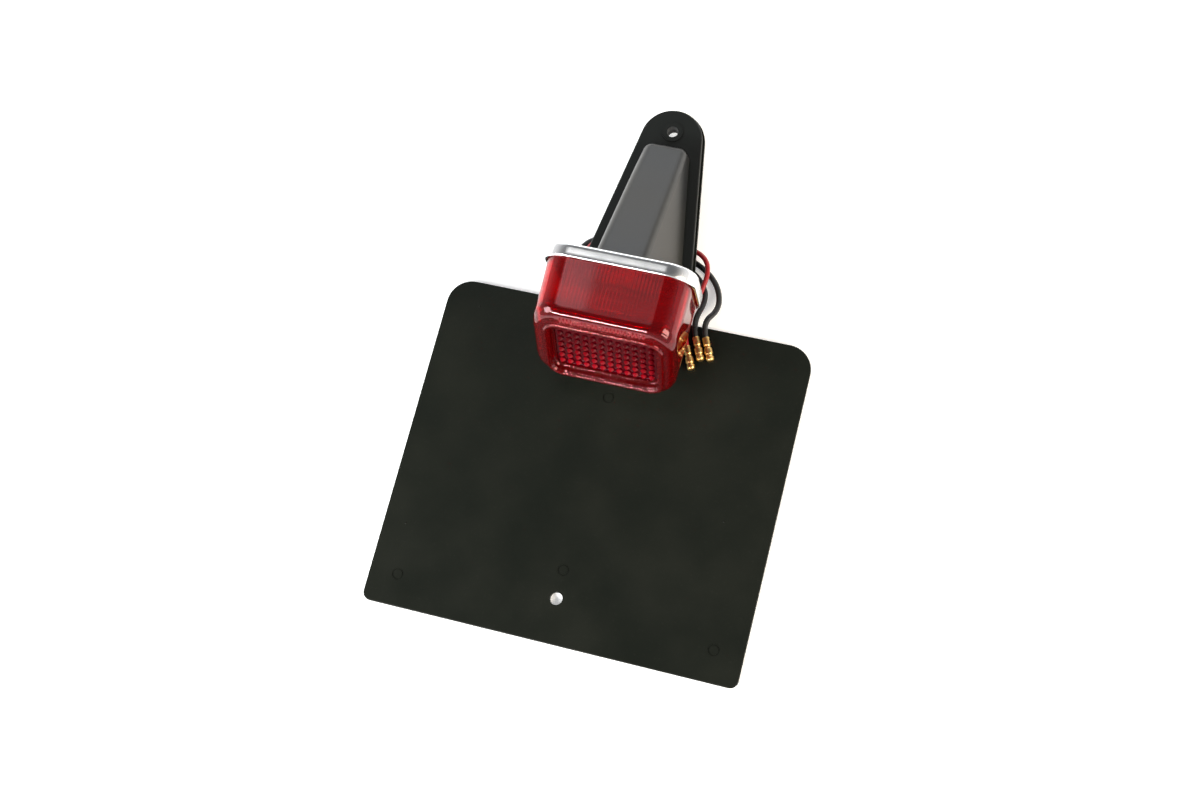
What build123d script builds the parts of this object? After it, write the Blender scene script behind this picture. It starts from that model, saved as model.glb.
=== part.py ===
from build123d import *
import math
import os

# Tail light on a number plate bracket for a motorcycle, in millimetres.
# +Z is up from the bracket's flat underside, +Y runs up the bracket to the fixing tab,
# and the lens looks along -Y. The origin is under the middle of the whole outline.

# --- driving dimensions: bracket ---
PLATE_W = 180.0
PLATE_H = 162.0
PLATE_T = 2.5
PLATE_TOP_R = 12.0
PLATE_BOTTOM_R = 4.0
LIFT = 8.0             # how far the tongue's underside stands above the plate's underside
RAMP_RUN = 9.0         # length of the step between plate and tongue
RIM_FROM_TOP = 9.0     # rim's rear plane, measured from the plate's top edge
TAB_FROM_RIM = 77.0    # middle of the tab's round end, measured from the rim's rear plane
TONGUE_END_R = 16.0
TONGUE_HALF_W = 29.0   # half width of the tongue at the rim
NECK_HALF_W = 23.0     # half width of the step between plate and tongue
NECK_AT = 5.0          # where the neck starts, in front of the rim
EDGE_R = 0.5
RAMP_START = 2.0       # the step starts this far in front of the plate's top edge
STRIP_OVERLAP = 14.0   # how far the tongue's strip runs into the plate behind that
WEB_LENGTH = 9.0       # webs that stiffen the step
WEB_T = 2.0
WEB_X = (-20.0, 0.0, 20.0)
WEB_SINK = 0.3
MARK_R = 2.7           # ring-shaped ejector marks, from the middle of the plate
MARK_INNER_R = 2.1
MARK_DEPTH = 0.25
MARKS = ((0, 38.0), (0, -46.5), (-76.0, -66.0), (76.0, -66.0))

# --- driving dimensions: lamp, from the rim's rear plane and the tongue's top face ---
GASKET_T = 1.2
GASKET_INSET = 0.4     # and its gasket this much further in
FLANGE_T = 3.0
FLANGE_INSET = 0.9     # the housing's flange stands this far inside the tongue's outline
WEDGE_BASE_W = 24.6    # half widths and heights of the wedge at the rim ...
WEDGE_TOP_W = 11.0
WEDGE_TOP_Z = 48.0
TIP_BASE_W = 11.5      # ... and near the tab
TIP_TOP_W = 10.0
TIP_TOP_Z = 11.0
TIP_Y = 71.0
WEDGE_ROUND = 4.6
WALL = 2.4
TIP_WALL = 12.0        # solid length left at the wedge's low end
FLANGE_ROUND = 0.8
BOSS_R = 3.4           # inside bosses that take the bracket screws
BOSS_H = 5.0
BOSS_ROOF = 1.4
BOSS_WALL = 1.3        # plastic round and above each insert
COLLAR_W = 2.2         # collar round the tab's hole
COLLAR_H = 0.6

LENS_HALF_W = 34.0
LENS_FRONT_HALF_W = 33.0
LENS_TOP_Z = 49.8
LENS_BOTTOM_Z = 5.0
LENS_TOP_DEPTH = 33.5
LENS_BOTTOM_DEPTH = 49.5
LENS_WALL = 2.6
LENS_CORNER_R = 12.0
LENS_FRONT_CORNER_R = 9.0
LENS_ROUND = 4.0
RIM_DEPTH = 6.5
RIM_WALL = 1.5
RIM_GAP = 0.15
RIM_ROUND = 1.1
PAN_T = 2.5
PAN_INSET = 0.1
SEAL_T = 0.8
SEAL_INSET = 0.3
FACE_EXTRA = 0.6       # the lens front is this much thicker than its sides

WINDOW_HALF_W = 25.7   # reflex window in the lens front
WINDOW_LOW_Z = 9.0
WINDOW_TOP_Z = 40.8
WINDOW_DEPTH = 1.6
WINDOW_R = 4.0
FRAME_H = 0.9          # raised frame round the window
FRAME_W = 2.2
SEAT_DEPTH = 3.2       # where the reflex plate is seated below the face
SEAT_WALL = 1.2
SEAT_W = 1.6
SEAT_LEDGE = 1.5
REFLEX_T = 2.3
REFLEX_GAP = 0.1
REFLEX_COLUMNS = 12
REFLEX_ROWS = 6
REFLEX_PITCH_X = 3.9
REFLEX_PITCH_Z = 4.6
PRISM_R = 1.5
PRISM_TIP_R = 0.3
PRISM_DEPTH = 0.8
LIGHT_WINDOW_W = 40.0  # clear window in the lens underside
LIGHT_WINDOW_L = 14.0
LIGHT_WINDOW_Y = -20.0
LIGHT_GAP = 0.1
LIGHT_LIP_W = 2.0
LIGHT_LIP_T = 0.9
LENS_SCREW_X = 27.5
LENS_BOSS_R = 3.0
LENS_BOSS_FRONT = -22.0
LENS_RIB_T = 2.2
LENS_TAP_FRONT = -16.0

# --- driving dimensions: bulb and socket ---
BULB_Z = 24.0          # bulb axis above the tongue's top face
CAP_R = 7.5
SOCKET_R = 7.85
SOCKET_WALL = 0.9
SOCKET_FRONT = -7.2
SOCKET_BACK = 20.0
SOCKET_COLLAR_W = 3.2
SOCKET_COLLAR = (-3.3, -4.2)
SOCKET_BACK_HOLE_R = 3.2
CAP_FRONT = -8.5
CAP_END = 7.0
CAP_WALL = 0.7
CAP_CHAMFER = 1.2
CAP_CONE_L = 1.0
CAP_END_T = 4.0
GLASS_R = 12.5
GLASS_T = 0.7
GLASS_Y = -20.0
NECK_R = 6.7
NECK_BACK = -3.0
PIN_R = 1.0
PIN_L = 1.6
PIN_OUT = 0.1
PIN_Y = -1.5
PUSH = 2.5             # how far the bulb pushes in against its spring
SLOT_W = 2.7
SLOT_TURN = 28.0
SLOT_STEPS = 5
CONTACT_X = 3.2
CONTACT_R = 1.6
CONTACT_H = 0.9
CONTACT_SINK = 0.5     # the contacts start this far inside the cap's end
CONTACT_ROUND = 0.5
TIP_L = 1.6
TIP_R = 1.1
TIP_HEAD_R = 1.7
CARRIER_T = 3.5
CARRIER_ROUND = 0.4
TIP_TAIL = 1.5
SPRING_R = 5.4
SPRING_WIRE_R = 0.45
SPRING_TURNS = 5
SPRING_GAP = 0.05
FILAMENT_R = 0.5
SUPPORT_R = 0.3
FOOT_R = 3.0
FOOT_BACK = -4.0
FOOT_FRONT = -9.0
FILAMENTS = ((-19.8, 0, 2.5), (-15.3, 1.8, 1.9))   # y, height above the axis, half width

# --- driving dimensions: reflector sheet behind the bulb ---
REFLECTOR_HALF_W = 30.5
REFLECTOR_HALF_H = 19.0
REFLECTOR_CORNER_R = 7.0
REFLECTOR_T = 0.7
REFLECTOR_GAP = 0.05
REFLECTOR_SCREW_X = 24.0
REFLECTOR_SCREW_Z = 38.0

# --- driving dimensions: wiring ---
ARC_SHARE = 0.45       # how much of the shorter run beside a bend its arc takes
BLACK_D = 2.8
RED_D = 2.4
BULLET_R = 2.0
BULLET_L = 12.0
BOOT_EXIT_X = -9.0     # rubber elbow that leads the wires out sideways
BOOT_END_X = 6.0
BOOT_LOW = 0.3
BOOT_TOP = 6.9
BOOT_FRONT = -1.6
BOOT_ROUND = 1.2
BOOT_PLUG_R = 3.95
BOOT_PLUG_UP = 0.8
BOOT_COLLAR_R = 5.8

# --- holes ---
TAB_HOLE_R = 2.75
TAB_HOLE_OUT = 3.5     # the fixing hole stands this far beyond the middle of the tab's round end
PLATE_HOLE_R = 3.0
PLATE_HOLE_FROM_BOTTOM = 21.0
INSERT_R = 3.2
INSERT_TAP_R = 2.1
INSERT_L = 8.0
INSERT_X = 8.0
INSERT_Y = 44.0
INSERT_CLEAR_R = 2.75
SCREW_R = 1.3
SCREW_HEAD_R = 3.1
SCREW_HEAD_H = 1.7
SCREW_GAP = 0.3
SINK_H = 1.8           # countersink under the tongue
SINK_GAP = 0.1
CROSS_L = 4.4
CROSS_W = 0.8
CROSS_DEPTH = 0.6
LENS_SCREW_GAP = 0.4
SMALL_SCREW_R = 1.1
PAN_HEAD_R = 2.6
PAN_HEAD_H = 1.9
PAN_HEAD_ROUND = 0.8
PAN_CROSS_L = 3.4
HEAD_GAP = 0.05
SMALL_HEAD_R = 2.3
SMALL_HEAD_H = 1.4
CUT = 1.0              # how far a cutting tool runs past the face it cuts
BRACKET_SCREW_Y = (33.0, 55.0)
BOOT_HOLE_R = 4.0
BOOT_Y = 12.0

# --- worked-out places ---
TOTAL = PLATE_H + RIM_FROM_TOP + TAB_FROM_RIM + TONGUE_END_R
PLATE_LOW = -TOTAL / 2
PLATE_HIGH = PLATE_LOW + PLATE_H
PLATE_MID = (PLATE_LOW + PLATE_HIGH) / 2
RIM_Y = PLATE_HIGH + RIM_FROM_TOP
TAB_Y = RIM_Y + TAB_FROM_RIM
BASE_Z = LIFT + PLATE_T
FACE_SLOPE = (LENS_BOTTOM_DEPTH - LENS_TOP_DEPTH) / (LENS_TOP_Z - LENS_BOTTOM_Z)
FACE_ANGLE = math.degrees(math.atan(FACE_SLOPE))
LENS_MID_Z = (LENS_TOP_Z + LENS_BOTTOM_Z) / 2
LENS_HALF_H = (LENS_TOP_Z - LENS_BOTTOM_Z) / 2
LENS_BACK = -PAN_T - SEAL_T
LENS_FAR = -LENS_BOTTOM_DEPTH - 8.0


def write(shape, name):
    """Export one sub-part, named after its node."""
    shape.label = name
    export_step(shape, f"parts/{name}.step")
    print(f"{name:24s} {shape.volume:10.1f} mm3")


def on_lamp(shape):
    """Move a shape from the lamp's own frame to the part's frame."""
    return Pos(0, RIM_Y, BASE_Z) * shape


def along_y(radius, start, end, x=0.0, z=0.0):
    """A cylinder along Y between two stations."""
    length = abs(end - start)
    return Pos(x, (start + end) / 2, z) * Rot(90, 0, 0) * Cylinder(radius, length)


def along_z(radius, start, end, x=0.0, y=0.0):
    """A cylinder along Z between two heights."""
    return Pos(x, y, (start + end) / 2) * Cylinder(radius, abs(end - start))


def section_xz(half_w, half_h, radius, y, mid_z=LENS_MID_Z):
    """A rounded rectangle facing -Y at station y."""
    plane = Plane(origin=(0, y, mid_z), x_dir=(1, 0, 0), z_dir=(0, -1, 0))
    return plane * RectangleRounded(2 * half_w, 2 * half_h, radius)


def teardrop(half_w, end_r, rim_y, tab_y, lead=0.0):
    """The base outline: straight flanks that narrow to a round tab, with a straight lead-in."""
    run = tab_y - rim_y
    reach = math.hypot(run, half_w)
    lean = math.atan2(half_w, run) - math.asin(end_r / reach)
    right = (end_r * math.cos(lean), tab_y + end_r * math.sin(lean))
    left = (-right[0], right[1])
    points = [left, (-half_w, rim_y), (half_w, rim_y), right]
    if lead:
        neck = [(NECK_HALF_W, rim_y - NECK_AT), (NECK_HALF_W, rim_y - lead)]
        points[2:2] = [(-x, y) for x, y in neck] + neck[::-1]
    outline = Polyline(*points)
    cap = ThreePointArc(right, (0, tab_y + end_r), left)
    return make_face([*outline.edges(), cap])


# --- bracket and base ---
def number_plate_bracket():
    """Flat moulded plate with a raised tongue that carries the lamp."""
    plate = Pos(0, PLATE_MID, 0) * extrude(Rectangle(PLATE_W, PLATE_H), PLATE_T)
    corners = plate.edges().filter_by(Axis.Z).sort_by(Axis.Y)
    plate = fillet(corners[2:], PLATE_TOP_R)
    corners = plate.edges().filter_by(Axis.Z).sort_by(Axis.Y)
    plate = fillet(corners[:2], PLATE_BOTTOM_R)
    rims = plate.faces().filter_by(Axis.Z).edges()
    plate = fillet(rims, EDGE_R)

    ramp_angle = math.atan2(LIFT, RAMP_RUN)
    shift = PLATE_T * math.tan(ramp_angle / 2)
    low = PLATE_HIGH - RAMP_START
    high = low + RAMP_RUN
    end = TAB_Y + TONGUE_END_R + CUT
    inside = low - STRIP_OVERLAP
    profile = Polyline(
        (inside, 0), (low, 0), (high, LIFT), (end, LIFT), (end, BASE_Z),
        (high - shift, BASE_Z), (low - shift, PLATE_T), (inside, PLATE_T), close=True,
    )
    strip = extrude(Plane.YZ * make_face(profile), TONGUE_HALF_W + CUT, both=True)
    outline = teardrop(TONGUE_HALF_W, TONGUE_END_R, RIM_Y, TAB_Y, RIM_Y - inside)
    tongue = strip & extrude(outline, BASE_Z + CUT)
    bracket = plate + tongue

    # webs that stiffen the step, in the middle and near each edge of the tongue
    web_end = high - shift
    web = Polyline(
        (low - WEB_LENGTH, PLATE_T - WEB_SINK), (web_end, PLATE_T - WEB_SINK),
        (web_end, BASE_Z - CUT), close=True,
    )
    for x in WEB_X:
        bracket += Pos(x, 0, 0) * extrude(Plane.YZ * make_face(web), WEB_T / 2, both=True)

    hole_y = PLATE_LOW + PLATE_HOLE_FROM_BOTTOM
    bracket -= along_z(PLATE_HOLE_R, -CUT, PLATE_T + CUT, 0, hole_y)
    bracket -= along_z(TAB_HOLE_R, 0, BASE_Z + CUT, 0, TAB_Y + TAB_HOLE_OUT)
    bracket -= along_z(BOOT_HOLE_R, 0, BASE_Z + CUT, 0, RIM_Y + BOOT_Y)
    for x in (-INSERT_X, INSERT_X):
        bracket -= along_z(INSERT_CLEAR_R, 0, BASE_Z + CUT, x, RIM_Y + INSERT_Y)
    for y in BRACKET_SCREW_Y:
        bracket -= along_z(SCREW_R + SCREW_GAP, 0, BASE_Z + CUT, 0, RIM_Y + y)
        bracket -= Pos(0, RIM_Y + y, LIFT + SINK_H / 2) * Cone(
            SCREW_HEAD_R + SINK_GAP, SCREW_R + SCREW_GAP, SINK_H)
    for x, y in MARKS:
        mark = along_z(MARK_R, PLATE_T - MARK_DEPTH, PLATE_T + CUT, x, PLATE_MID + y)
        bracket -= mark - along_z(MARK_INNER_R, 0, PLATE_T + 2 * CUT, x, PLATE_MID + y)
    return bracket


def base_gasket():
    """Thin rubber pad between the tongue and the housing."""
    inset = FLANGE_INSET + GASKET_INSET
    pad = teardrop(TONGUE_HALF_W - inset, TONGUE_END_R - inset, 0, TAB_FROM_RIM)
    pad = extrude(pad, GASKET_T)
    holes = [(TAB_HOLE_R, 0, TAB_FROM_RIM + TAB_HOLE_OUT), (BOOT_HOLE_R, 0, BOOT_Y)]
    holes += [(INSERT_CLEAR_R, x, INSERT_Y) for x in (-INSERT_X, INSERT_X)]
    holes += [(SCREW_R + SCREW_GAP, 0, y) for y in BRACKET_SCREW_Y]
    for radius, x, y in holes:
        pad -= along_z(radius, -CUT, GASKET_T + CUT, x, y)
    return on_lamp(pad)


# --- housing ---
def wedge(grow, start, end, floor):
    """The tapering stem: a loft between two trapezoids, grown by a wall allowance."""
    span = TIP_Y

    def trapezoid(y):
        t = y / span
        base = WEDGE_BASE_W + (TIP_BASE_W - WEDGE_BASE_W) * t + grow
        top = WEDGE_TOP_W + (TIP_TOP_W - WEDGE_TOP_W) * t + grow * 0.8
        height = WEDGE_TOP_Z + (TIP_TOP_Z - WEDGE_TOP_Z) * t + grow * 1.1
        plane = Plane(origin=(0, y, 0), x_dir=(1, 0, 0), z_dir=(0, -1, 0))
        points = [(-base, floor), (base, floor), (top, height), (-top, height)]
        return plane * make_face(Polyline(*points, close=True))

    return loft([trapezoid(start), trapezoid(end)])


def lamp_housing():
    """Hollow wedge stem with its flange, its round tab and the pan behind the lens."""
    floor = GASKET_T
    flange_top = floor + FLANGE_T
    stem = wedge(0, 0, TIP_Y, floor)
    tip_edges = stem.faces().sort_by(Axis.Y)[-1].edges().sort_by(Axis.Z)[1:]
    middle = TIP_Y / 2
    crest = stem.edges().filter_by(
        lambda e: e.center().Z > TIP_TOP_Z and abs(e.center().Y - middle) < middle / 2)
    stem = fillet([*tip_edges, *crest], WEDGE_ROUND)
    outline = teardrop(
        TONGUE_HALF_W - FLANGE_INSET, TONGUE_END_R - FLANGE_INSET, 0, TAB_FROM_RIM)
    flange = Pos(0, 0, floor) * extrude(outline, FLANGE_T)
    flange = fillet(flange.faces().sort_by(Axis.Z)[-1].edges(), FLANGE_ROUND)
    pan = extrude(
        section_xz(LENS_HALF_W - PAN_INSET, LENS_HALF_H - PAN_INSET, LENS_CORNER_R, 0), PAN_T)
    housing = stem + flange + pan

    hollow = wedge(-WALL, -PAN_T - CUT, TIP_Y - TIP_WALL, flange_top)
    housing -= hollow
    # inside bosses for the bracket screws and the fixing inserts
    for y in BRACKET_SCREW_Y:
        housing += along_z(BOSS_R, floor, flange_top + BOSS_H, 0, y)
        housing -= along_z(SCREW_R, floor - CUT, flange_top + BOSS_H - BOSS_ROOF, 0, y)
    for x in (-INSERT_X, INSERT_X):
        top = floor + INSERT_L
        housing += along_z(INSERT_R + BOSS_WALL, floor, top + BOSS_WALL, x, INSERT_Y)
        housing -= along_z(INSERT_R, floor - CUT, top, x, INSERT_Y)
    housing -= along_z(BOOT_HOLE_R, floor - CUT, flange_top + CUT, 0, BOOT_Y)
    # raised collar round the fixing hole on the tab
    collar_low = flange_top - COLLAR_H
    collar_top = flange_top + COLLAR_H
    hole_y = TAB_FROM_RIM + TAB_HOLE_OUT
    housing += along_z(TAB_HOLE_R + COLLAR_W, collar_low, collar_top, 0, hole_y)
    housing -= along_z(TAB_HOLE_R, floor - CUT, collar_top + CUT, 0, hole_y)
    # holes for the screws that hold the lens and the reflector sheet
    for side in (-1, 1):
        x = side * LENS_SCREW_X
        housing -= along_y(SCREW_R + LENS_SCREW_GAP, -PAN_T - CUT, CUT, x, LENS_MID_Z)
        x = side * REFLECTOR_SCREW_X
        housing -= along_y(SMALL_SCREW_R, -PAN_T - CUT, CUT, x, REFLECTOR_SCREW_Z)
    return on_lamp(housing)


def base_inserts():
    """Two threaded brass inserts that take the bolts from below."""
    made = []
    for x in (-INSERT_X, INSERT_X):
        top = GASKET_T + INSERT_L
        insert = along_z(INSERT_R, GASKET_T, top, x, INSERT_Y)
        insert -= along_z(INSERT_TAP_R, GASKET_T - CUT, top + CUT, x, INSERT_Y)
        made.append(on_lamp(insert))
    return Compound(made)


def bracket_screws():
    """Two countersunk screws that hold the tongue to the housing."""
    made = []
    top = BASE_Z + GASKET_T + FLANGE_T + BOSS_H - BOSS_ROOF - SCREW_GAP
    for y in BRACKET_SCREW_Y:
        shank = along_z(SCREW_R, LIFT + SCREW_HEAD_H / 2, top, 0, RIM_Y + y)
        place = Pos(0, RIM_Y + y, LIFT + SINK_GAP)
        head = place * Pos(0, 0, SCREW_HEAD_H / 2) * Cone(SCREW_HEAD_R, SCREW_R, SCREW_HEAD_H)
        slot = place * Box(CROSS_L, CROSS_W, 2 * CROSS_DEPTH)
        cross = place * Box(CROSS_W, CROSS_L, 2 * CROSS_DEPTH)
        made.append(shank + head - slot - cross)
    return Compound(made)


# --- rim, seal and lens ---
def chrome_rim():
    """Bright band round the joint of pan and lens, open at the front and the back."""
    half_w = LENS_HALF_W + RIM_GAP
    half_h = LENS_HALF_H + RIM_GAP
    outline = section_xz(half_w + RIM_WALL, half_h + RIM_WALL, LENS_CORNER_R + RIM_WALL, 0)
    band = extrude(outline, RIM_DEPTH)
    band = fillet(band.faces().filter_by(Axis.Y).edges(), RIM_ROUND)
    inner = extrude(section_xz(half_w, half_h, LENS_CORNER_R, CUT), RIM_DEPTH + 2 * CUT)
    return on_lamp(band - inner)


def lens_seal():
    """Flat rubber ring between the lens edge and the pan."""
    half_w = LENS_HALF_W - SEAL_INSET
    half_h = LENS_HALF_H - SEAL_INSET
    outer = extrude(section_xz(half_w, half_h, LENS_CORNER_R, -PAN_T), SEAL_T)
    half_w = LENS_HALF_W - LENS_WALL
    half_h = LENS_HALF_H - LENS_WALL
    opening = section_xz(half_w, half_h, LENS_CORNER_R - LENS_WALL, CUT)
    return on_lamp(outer - extrude(opening, PAN_T + SEAL_T + 2 * CUT))


def face_point(z, lift=0.0):
    """Y of the sloping lens front at height z, moved out by lift."""
    return -(LENS_TOP_DEPTH + (LENS_TOP_Z - z) * FACE_SLOPE) - lift


def lens_block(inset, face_inset, back):
    """Solid of the lens form, shrunk by a wall allowance."""
    half_h = LENS_HALF_H - inset
    block = loft([
        section_xz(LENS_HALF_W - inset, half_h, LENS_CORNER_R - inset, back),
        section_xz(LENS_FRONT_HALF_W - inset, half_h, LENS_FRONT_CORNER_R - inset, LENS_FAR),
    ])
    z_low = LENS_BOTTOM_Z - LENS_WALL
    z_high = LENS_TOP_Z + LENS_WALL
    beyond = Polyline(
        (face_point(z_low, -face_inset), z_low), (face_point(z_high, -face_inset), z_high),
        (2 * LENS_FAR, z_high), (2 * LENS_FAR, z_low), close=True,
    )
    return block - extrude(Plane.YZ * make_face(beyond), LENS_HALF_W + CUT, both=True)


def front_plane(z, lift=0.0):
    """Plane on the sloping lens front, its normal pointing out."""
    out = Vector(0, -math.cos(math.radians(FACE_ANGLE)), math.sin(math.radians(FACE_ANGLE)))
    base = Vector(0, face_point(z), z) + out * lift
    return Plane(origin=base, x_dir=(1, 0, 0), z_dir=out)


def window_sheet(half_w_change, depth_from, depth_to, radius):
    """A rounded slab lying in the sloping front, between two depths below its face."""
    mid = (WINDOW_LOW_Z + WINDOW_TOP_Z) / 2
    tall = (WINDOW_TOP_Z - WINDOW_LOW_Z) / math.cos(math.radians(FACE_ANGLE))
    plane = front_plane(mid, -depth_to)
    face = plane * RectangleRounded(
        2 * (WINDOW_HALF_W + half_w_change), tall + 2 * half_w_change, radius)
    return extrude(face, depth_to - depth_from)


def red_lens():
    """Shell of red plastic with a sunk window for the reflex reflector."""
    body = lens_block(0, 0, LENS_BACK)
    front = body.faces().sort_by(Axis.Y)[0]
    body = fillet(front.edges(), LENS_ROUND)
    body -= lens_block(LENS_WALL, LENS_WALL + FACE_EXTRA, LENS_BACK + CUT)
    # raised frame round the window, and the block behind it that the reflex plate sits in
    body += window_sheet(FRAME_W, -FRAME_H, 1.0, WINDOW_R + 2.0)
    body += window_sheet(SEAT_W, 0, SEAT_DEPTH + SEAT_WALL, WINDOW_R + SEAT_W)
    body -= window_sheet(0, -2 * FRAME_H, WINDOW_DEPTH, WINDOW_R)
    body -= window_sheet(-SEAT_LEDGE, SEAT_DEPTH, 2 * SEAT_DEPTH, WINDOW_R - 1.0)
    # bosses behind the face for the two lens screws, joined to the side walls
    rib_end = LENS_HALF_W - LENS_WALL / 2
    rib_l = LENS_BACK - LENS_BOSS_FRONT
    rib_y = (LENS_BACK + LENS_BOSS_FRONT) / 2
    for side in (-1, 1):
        x = side * LENS_SCREW_X
        body += along_y(LENS_BOSS_R, LENS_BACK, LENS_BOSS_FRONT, x, LENS_MID_Z)
        rib = Box(rib_end - LENS_SCREW_X, rib_l, LENS_RIB_T)
        body += Pos(side * (rib_end + LENS_SCREW_X) / 2, rib_y, LENS_MID_Z) * rib
        body -= along_y(SCREW_R, LENS_BACK + CUT, LENS_TAP_FRONT, x, LENS_MID_Z)
    # opening in the underside for the clear window over the number plate
    opening = Box(LIGHT_WINDOW_W, LIGHT_WINDOW_L, 3 * LENS_WALL)
    body -= Pos(0, LIGHT_WINDOW_Y, LENS_BOTTOM_Z) * opening
    return on_lamp(body)


def plate_light_window():
    """Clear panel in the lens underside that lights the number plate."""
    inside = LENS_BOTTOM_Z + LENS_WALL
    wide = LIGHT_WINDOW_W - LIGHT_GAP
    long = LIGHT_WINDOW_L - LIGHT_GAP
    pane = Pos(0, LIGHT_WINDOW_Y, inside - LENS_WALL / 2) * Box(wide, long, LENS_WALL)
    wide += 2 * LIGHT_LIP_W
    long += 2 * LIGHT_LIP_W
    lip = Pos(0, LIGHT_WINDOW_Y, inside + LIGHT_LIP_T / 2) * Box(wide, long, LIGHT_LIP_T)
    return on_lamp(pane + lip)


def reflex_reflector():
    """Prismatic reflex plate in the sunk window, with rows of hollow prisms in its back."""
    mid = (WINDOW_LOW_Z + WINDOW_TOP_Z) / 2
    front = SEAT_DEPTH + REFLEX_GAP
    back = front + REFLEX_T
    plate = window_sheet(-SEAT_LEDGE - REFLEX_GAP, front, back, WINDOW_R - 1.0 - REFLEX_GAP)
    plane = front_plane(mid, -back)
    for column in range(REFLEX_COLUMNS):
        for row in range(REFLEX_ROWS):
            x = (column - (REFLEX_COLUMNS - 1) / 2) * REFLEX_PITCH_X
            z = (row - (REFLEX_ROWS - 1) / 2) * REFLEX_PITCH_Z
            plate -= plane * Pos(x, z, 0) * Cone(PRISM_R, PRISM_TIP_R, 2 * PRISM_DEPTH)
    return on_lamp(plate)


def lens_screws():
    """Two pan-head screws driven from behind the pan into the lens bosses."""
    made = []
    for x in (-LENS_SCREW_X, LENS_SCREW_X):
        head = along_y(PAN_HEAD_R, HEAD_GAP, PAN_HEAD_H, x, LENS_MID_Z)
        head = fillet(head.edges().sort_by(Axis.Y)[-1], PAN_HEAD_ROUND)
        screw = head + along_y(SCREW_R, HEAD_GAP, LENS_TAP_FRONT + 0.5, x, LENS_MID_Z)
        place = Pos(x, PAN_HEAD_H, LENS_MID_Z)
        screw -= place * Box(CROSS_W, 2 * CROSS_DEPTH, PAN_CROSS_L)
        screw -= place * Box(PAN_CROSS_L, 2 * CROSS_DEPTH, CROSS_W)
        made.append(on_lamp(screw))
    return Compound(made)


# --- bulb holder ---
def reflector_plate():
    """Bright sheet behind the bulb that carries the socket."""
    back = -PAN_T - REFLECTOR_GAP
    outline = section_xz(REFLECTOR_HALF_W, REFLECTOR_HALF_H, REFLECTOR_CORNER_R, back)
    sheet = extrude(outline, REFLECTOR_T)
    holes = [(SOCKET_R + SOCKET_WALL + REFLECTOR_GAP, 0, BULB_Z)]
    for side in (-1, 1):
        holes.append((LENS_BOSS_R + LENS_SCREW_GAP, side * LENS_SCREW_X, LENS_MID_Z))
        holes.append((SCREW_R, side * REFLECTOR_SCREW_X, REFLECTOR_SCREW_Z))
    for radius, x, z in holes:
        sheet -= along_y(radius, 0, SOCKET_FRONT, x, z)
    return on_lamp(sheet)


def reflector_screws():
    """Two small screws that fix the reflector sheet to the pan."""
    made = []
    for x in (-REFLECTOR_SCREW_X, REFLECTOR_SCREW_X):
        under = -PAN_T - REFLECTOR_T - 2 * REFLECTOR_GAP
        top = under - SMALL_HEAD_H
        screw = along_y(SMALL_SCREW_R, -REFLECTOR_GAP, under, x, REFLECTOR_SCREW_Z)
        screw += along_y(SMALL_HEAD_R, under, top, x, REFLECTOR_SCREW_Z)
        screw -= Pos(x, top, REFLECTOR_SCREW_Z) * Box(PAN_CROSS_L, 2 * CROSS_DEPTH, CROSS_W)
        made.append(on_lamp(screw))
    return Compound(made)


def slot_cut(y_from, y_to, angle):
    """A box through both sides of the socket, one stretch of the two J-slots."""
    box = Box(2 * (SOCKET_R + SOCKET_COLLAR_W), abs(y_to - y_from), SLOT_W)
    return Pos(0, (y_from + y_to) / 2, BULB_Z) * Rot(0, angle, 0) * box


def bulb_socket():
    """Pressed bayonet shell with two J-slots and a turned-in rear lip."""
    shell = along_y(SOCKET_R + SOCKET_WALL, SOCKET_FRONT, SOCKET_BACK, 0, BULB_Z)
    shell += along_y(SOCKET_R + SOCKET_COLLAR_W, *SOCKET_COLLAR, 0, BULB_Z)
    shell -= along_y(SOCKET_R, SOCKET_FRONT - CUT, SOCKET_BACK - SOCKET_WALL, 0, BULB_Z)
    shell -= along_y(SOCKET_BACK_HOLE_R, 0, SOCKET_BACK + CUT, 0, BULB_Z)
    # the pin rests in a short leg, pushes back, turns across and comes out at the front
    leg_end = PIN_Y + PUSH + SLOT_W / 2
    shell -= slot_cut(PIN_Y - SLOT_W / 2, leg_end, 0)
    for i in range(SLOT_STEPS):
        shell -= slot_cut(leg_end - SLOT_W, leg_end, SLOT_TURN * i / (SLOT_STEPS - 1))
    shell -= slot_cut(SOCKET_FRONT - CUT, leg_end, SLOT_TURN)
    return on_lamp(shell)


def contact_carrier():
    """Insulating disc that slides in the socket behind the bulb."""
    start = CAP_END + TIP_L
    disc = along_y(CAP_R, start, start + CARRIER_T, 0, BULB_Z)
    disc = fillet(disc.edges(), CARRIER_ROUND)
    for x in (-CONTACT_X, CONTACT_X):
        disc -= along_y(TIP_R, start - CUT, start + CARRIER_T + CUT, x, BULB_Z)
    return on_lamp(disc)


def contact_tips():
    """Two brass contact tips held in the carrier."""
    made = []
    disc = CAP_END + TIP_L
    for x in (-CONTACT_X, CONTACT_X):
        tip = along_y(TIP_R, disc, disc + CARRIER_T + TIP_TAIL, x, BULB_Z)
        tip += along_y(TIP_HEAD_R, CAP_END + CONTACT_H, disc, x, BULB_Z)
        made.append(on_lamp(tip))
    return Compound(made)


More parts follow.
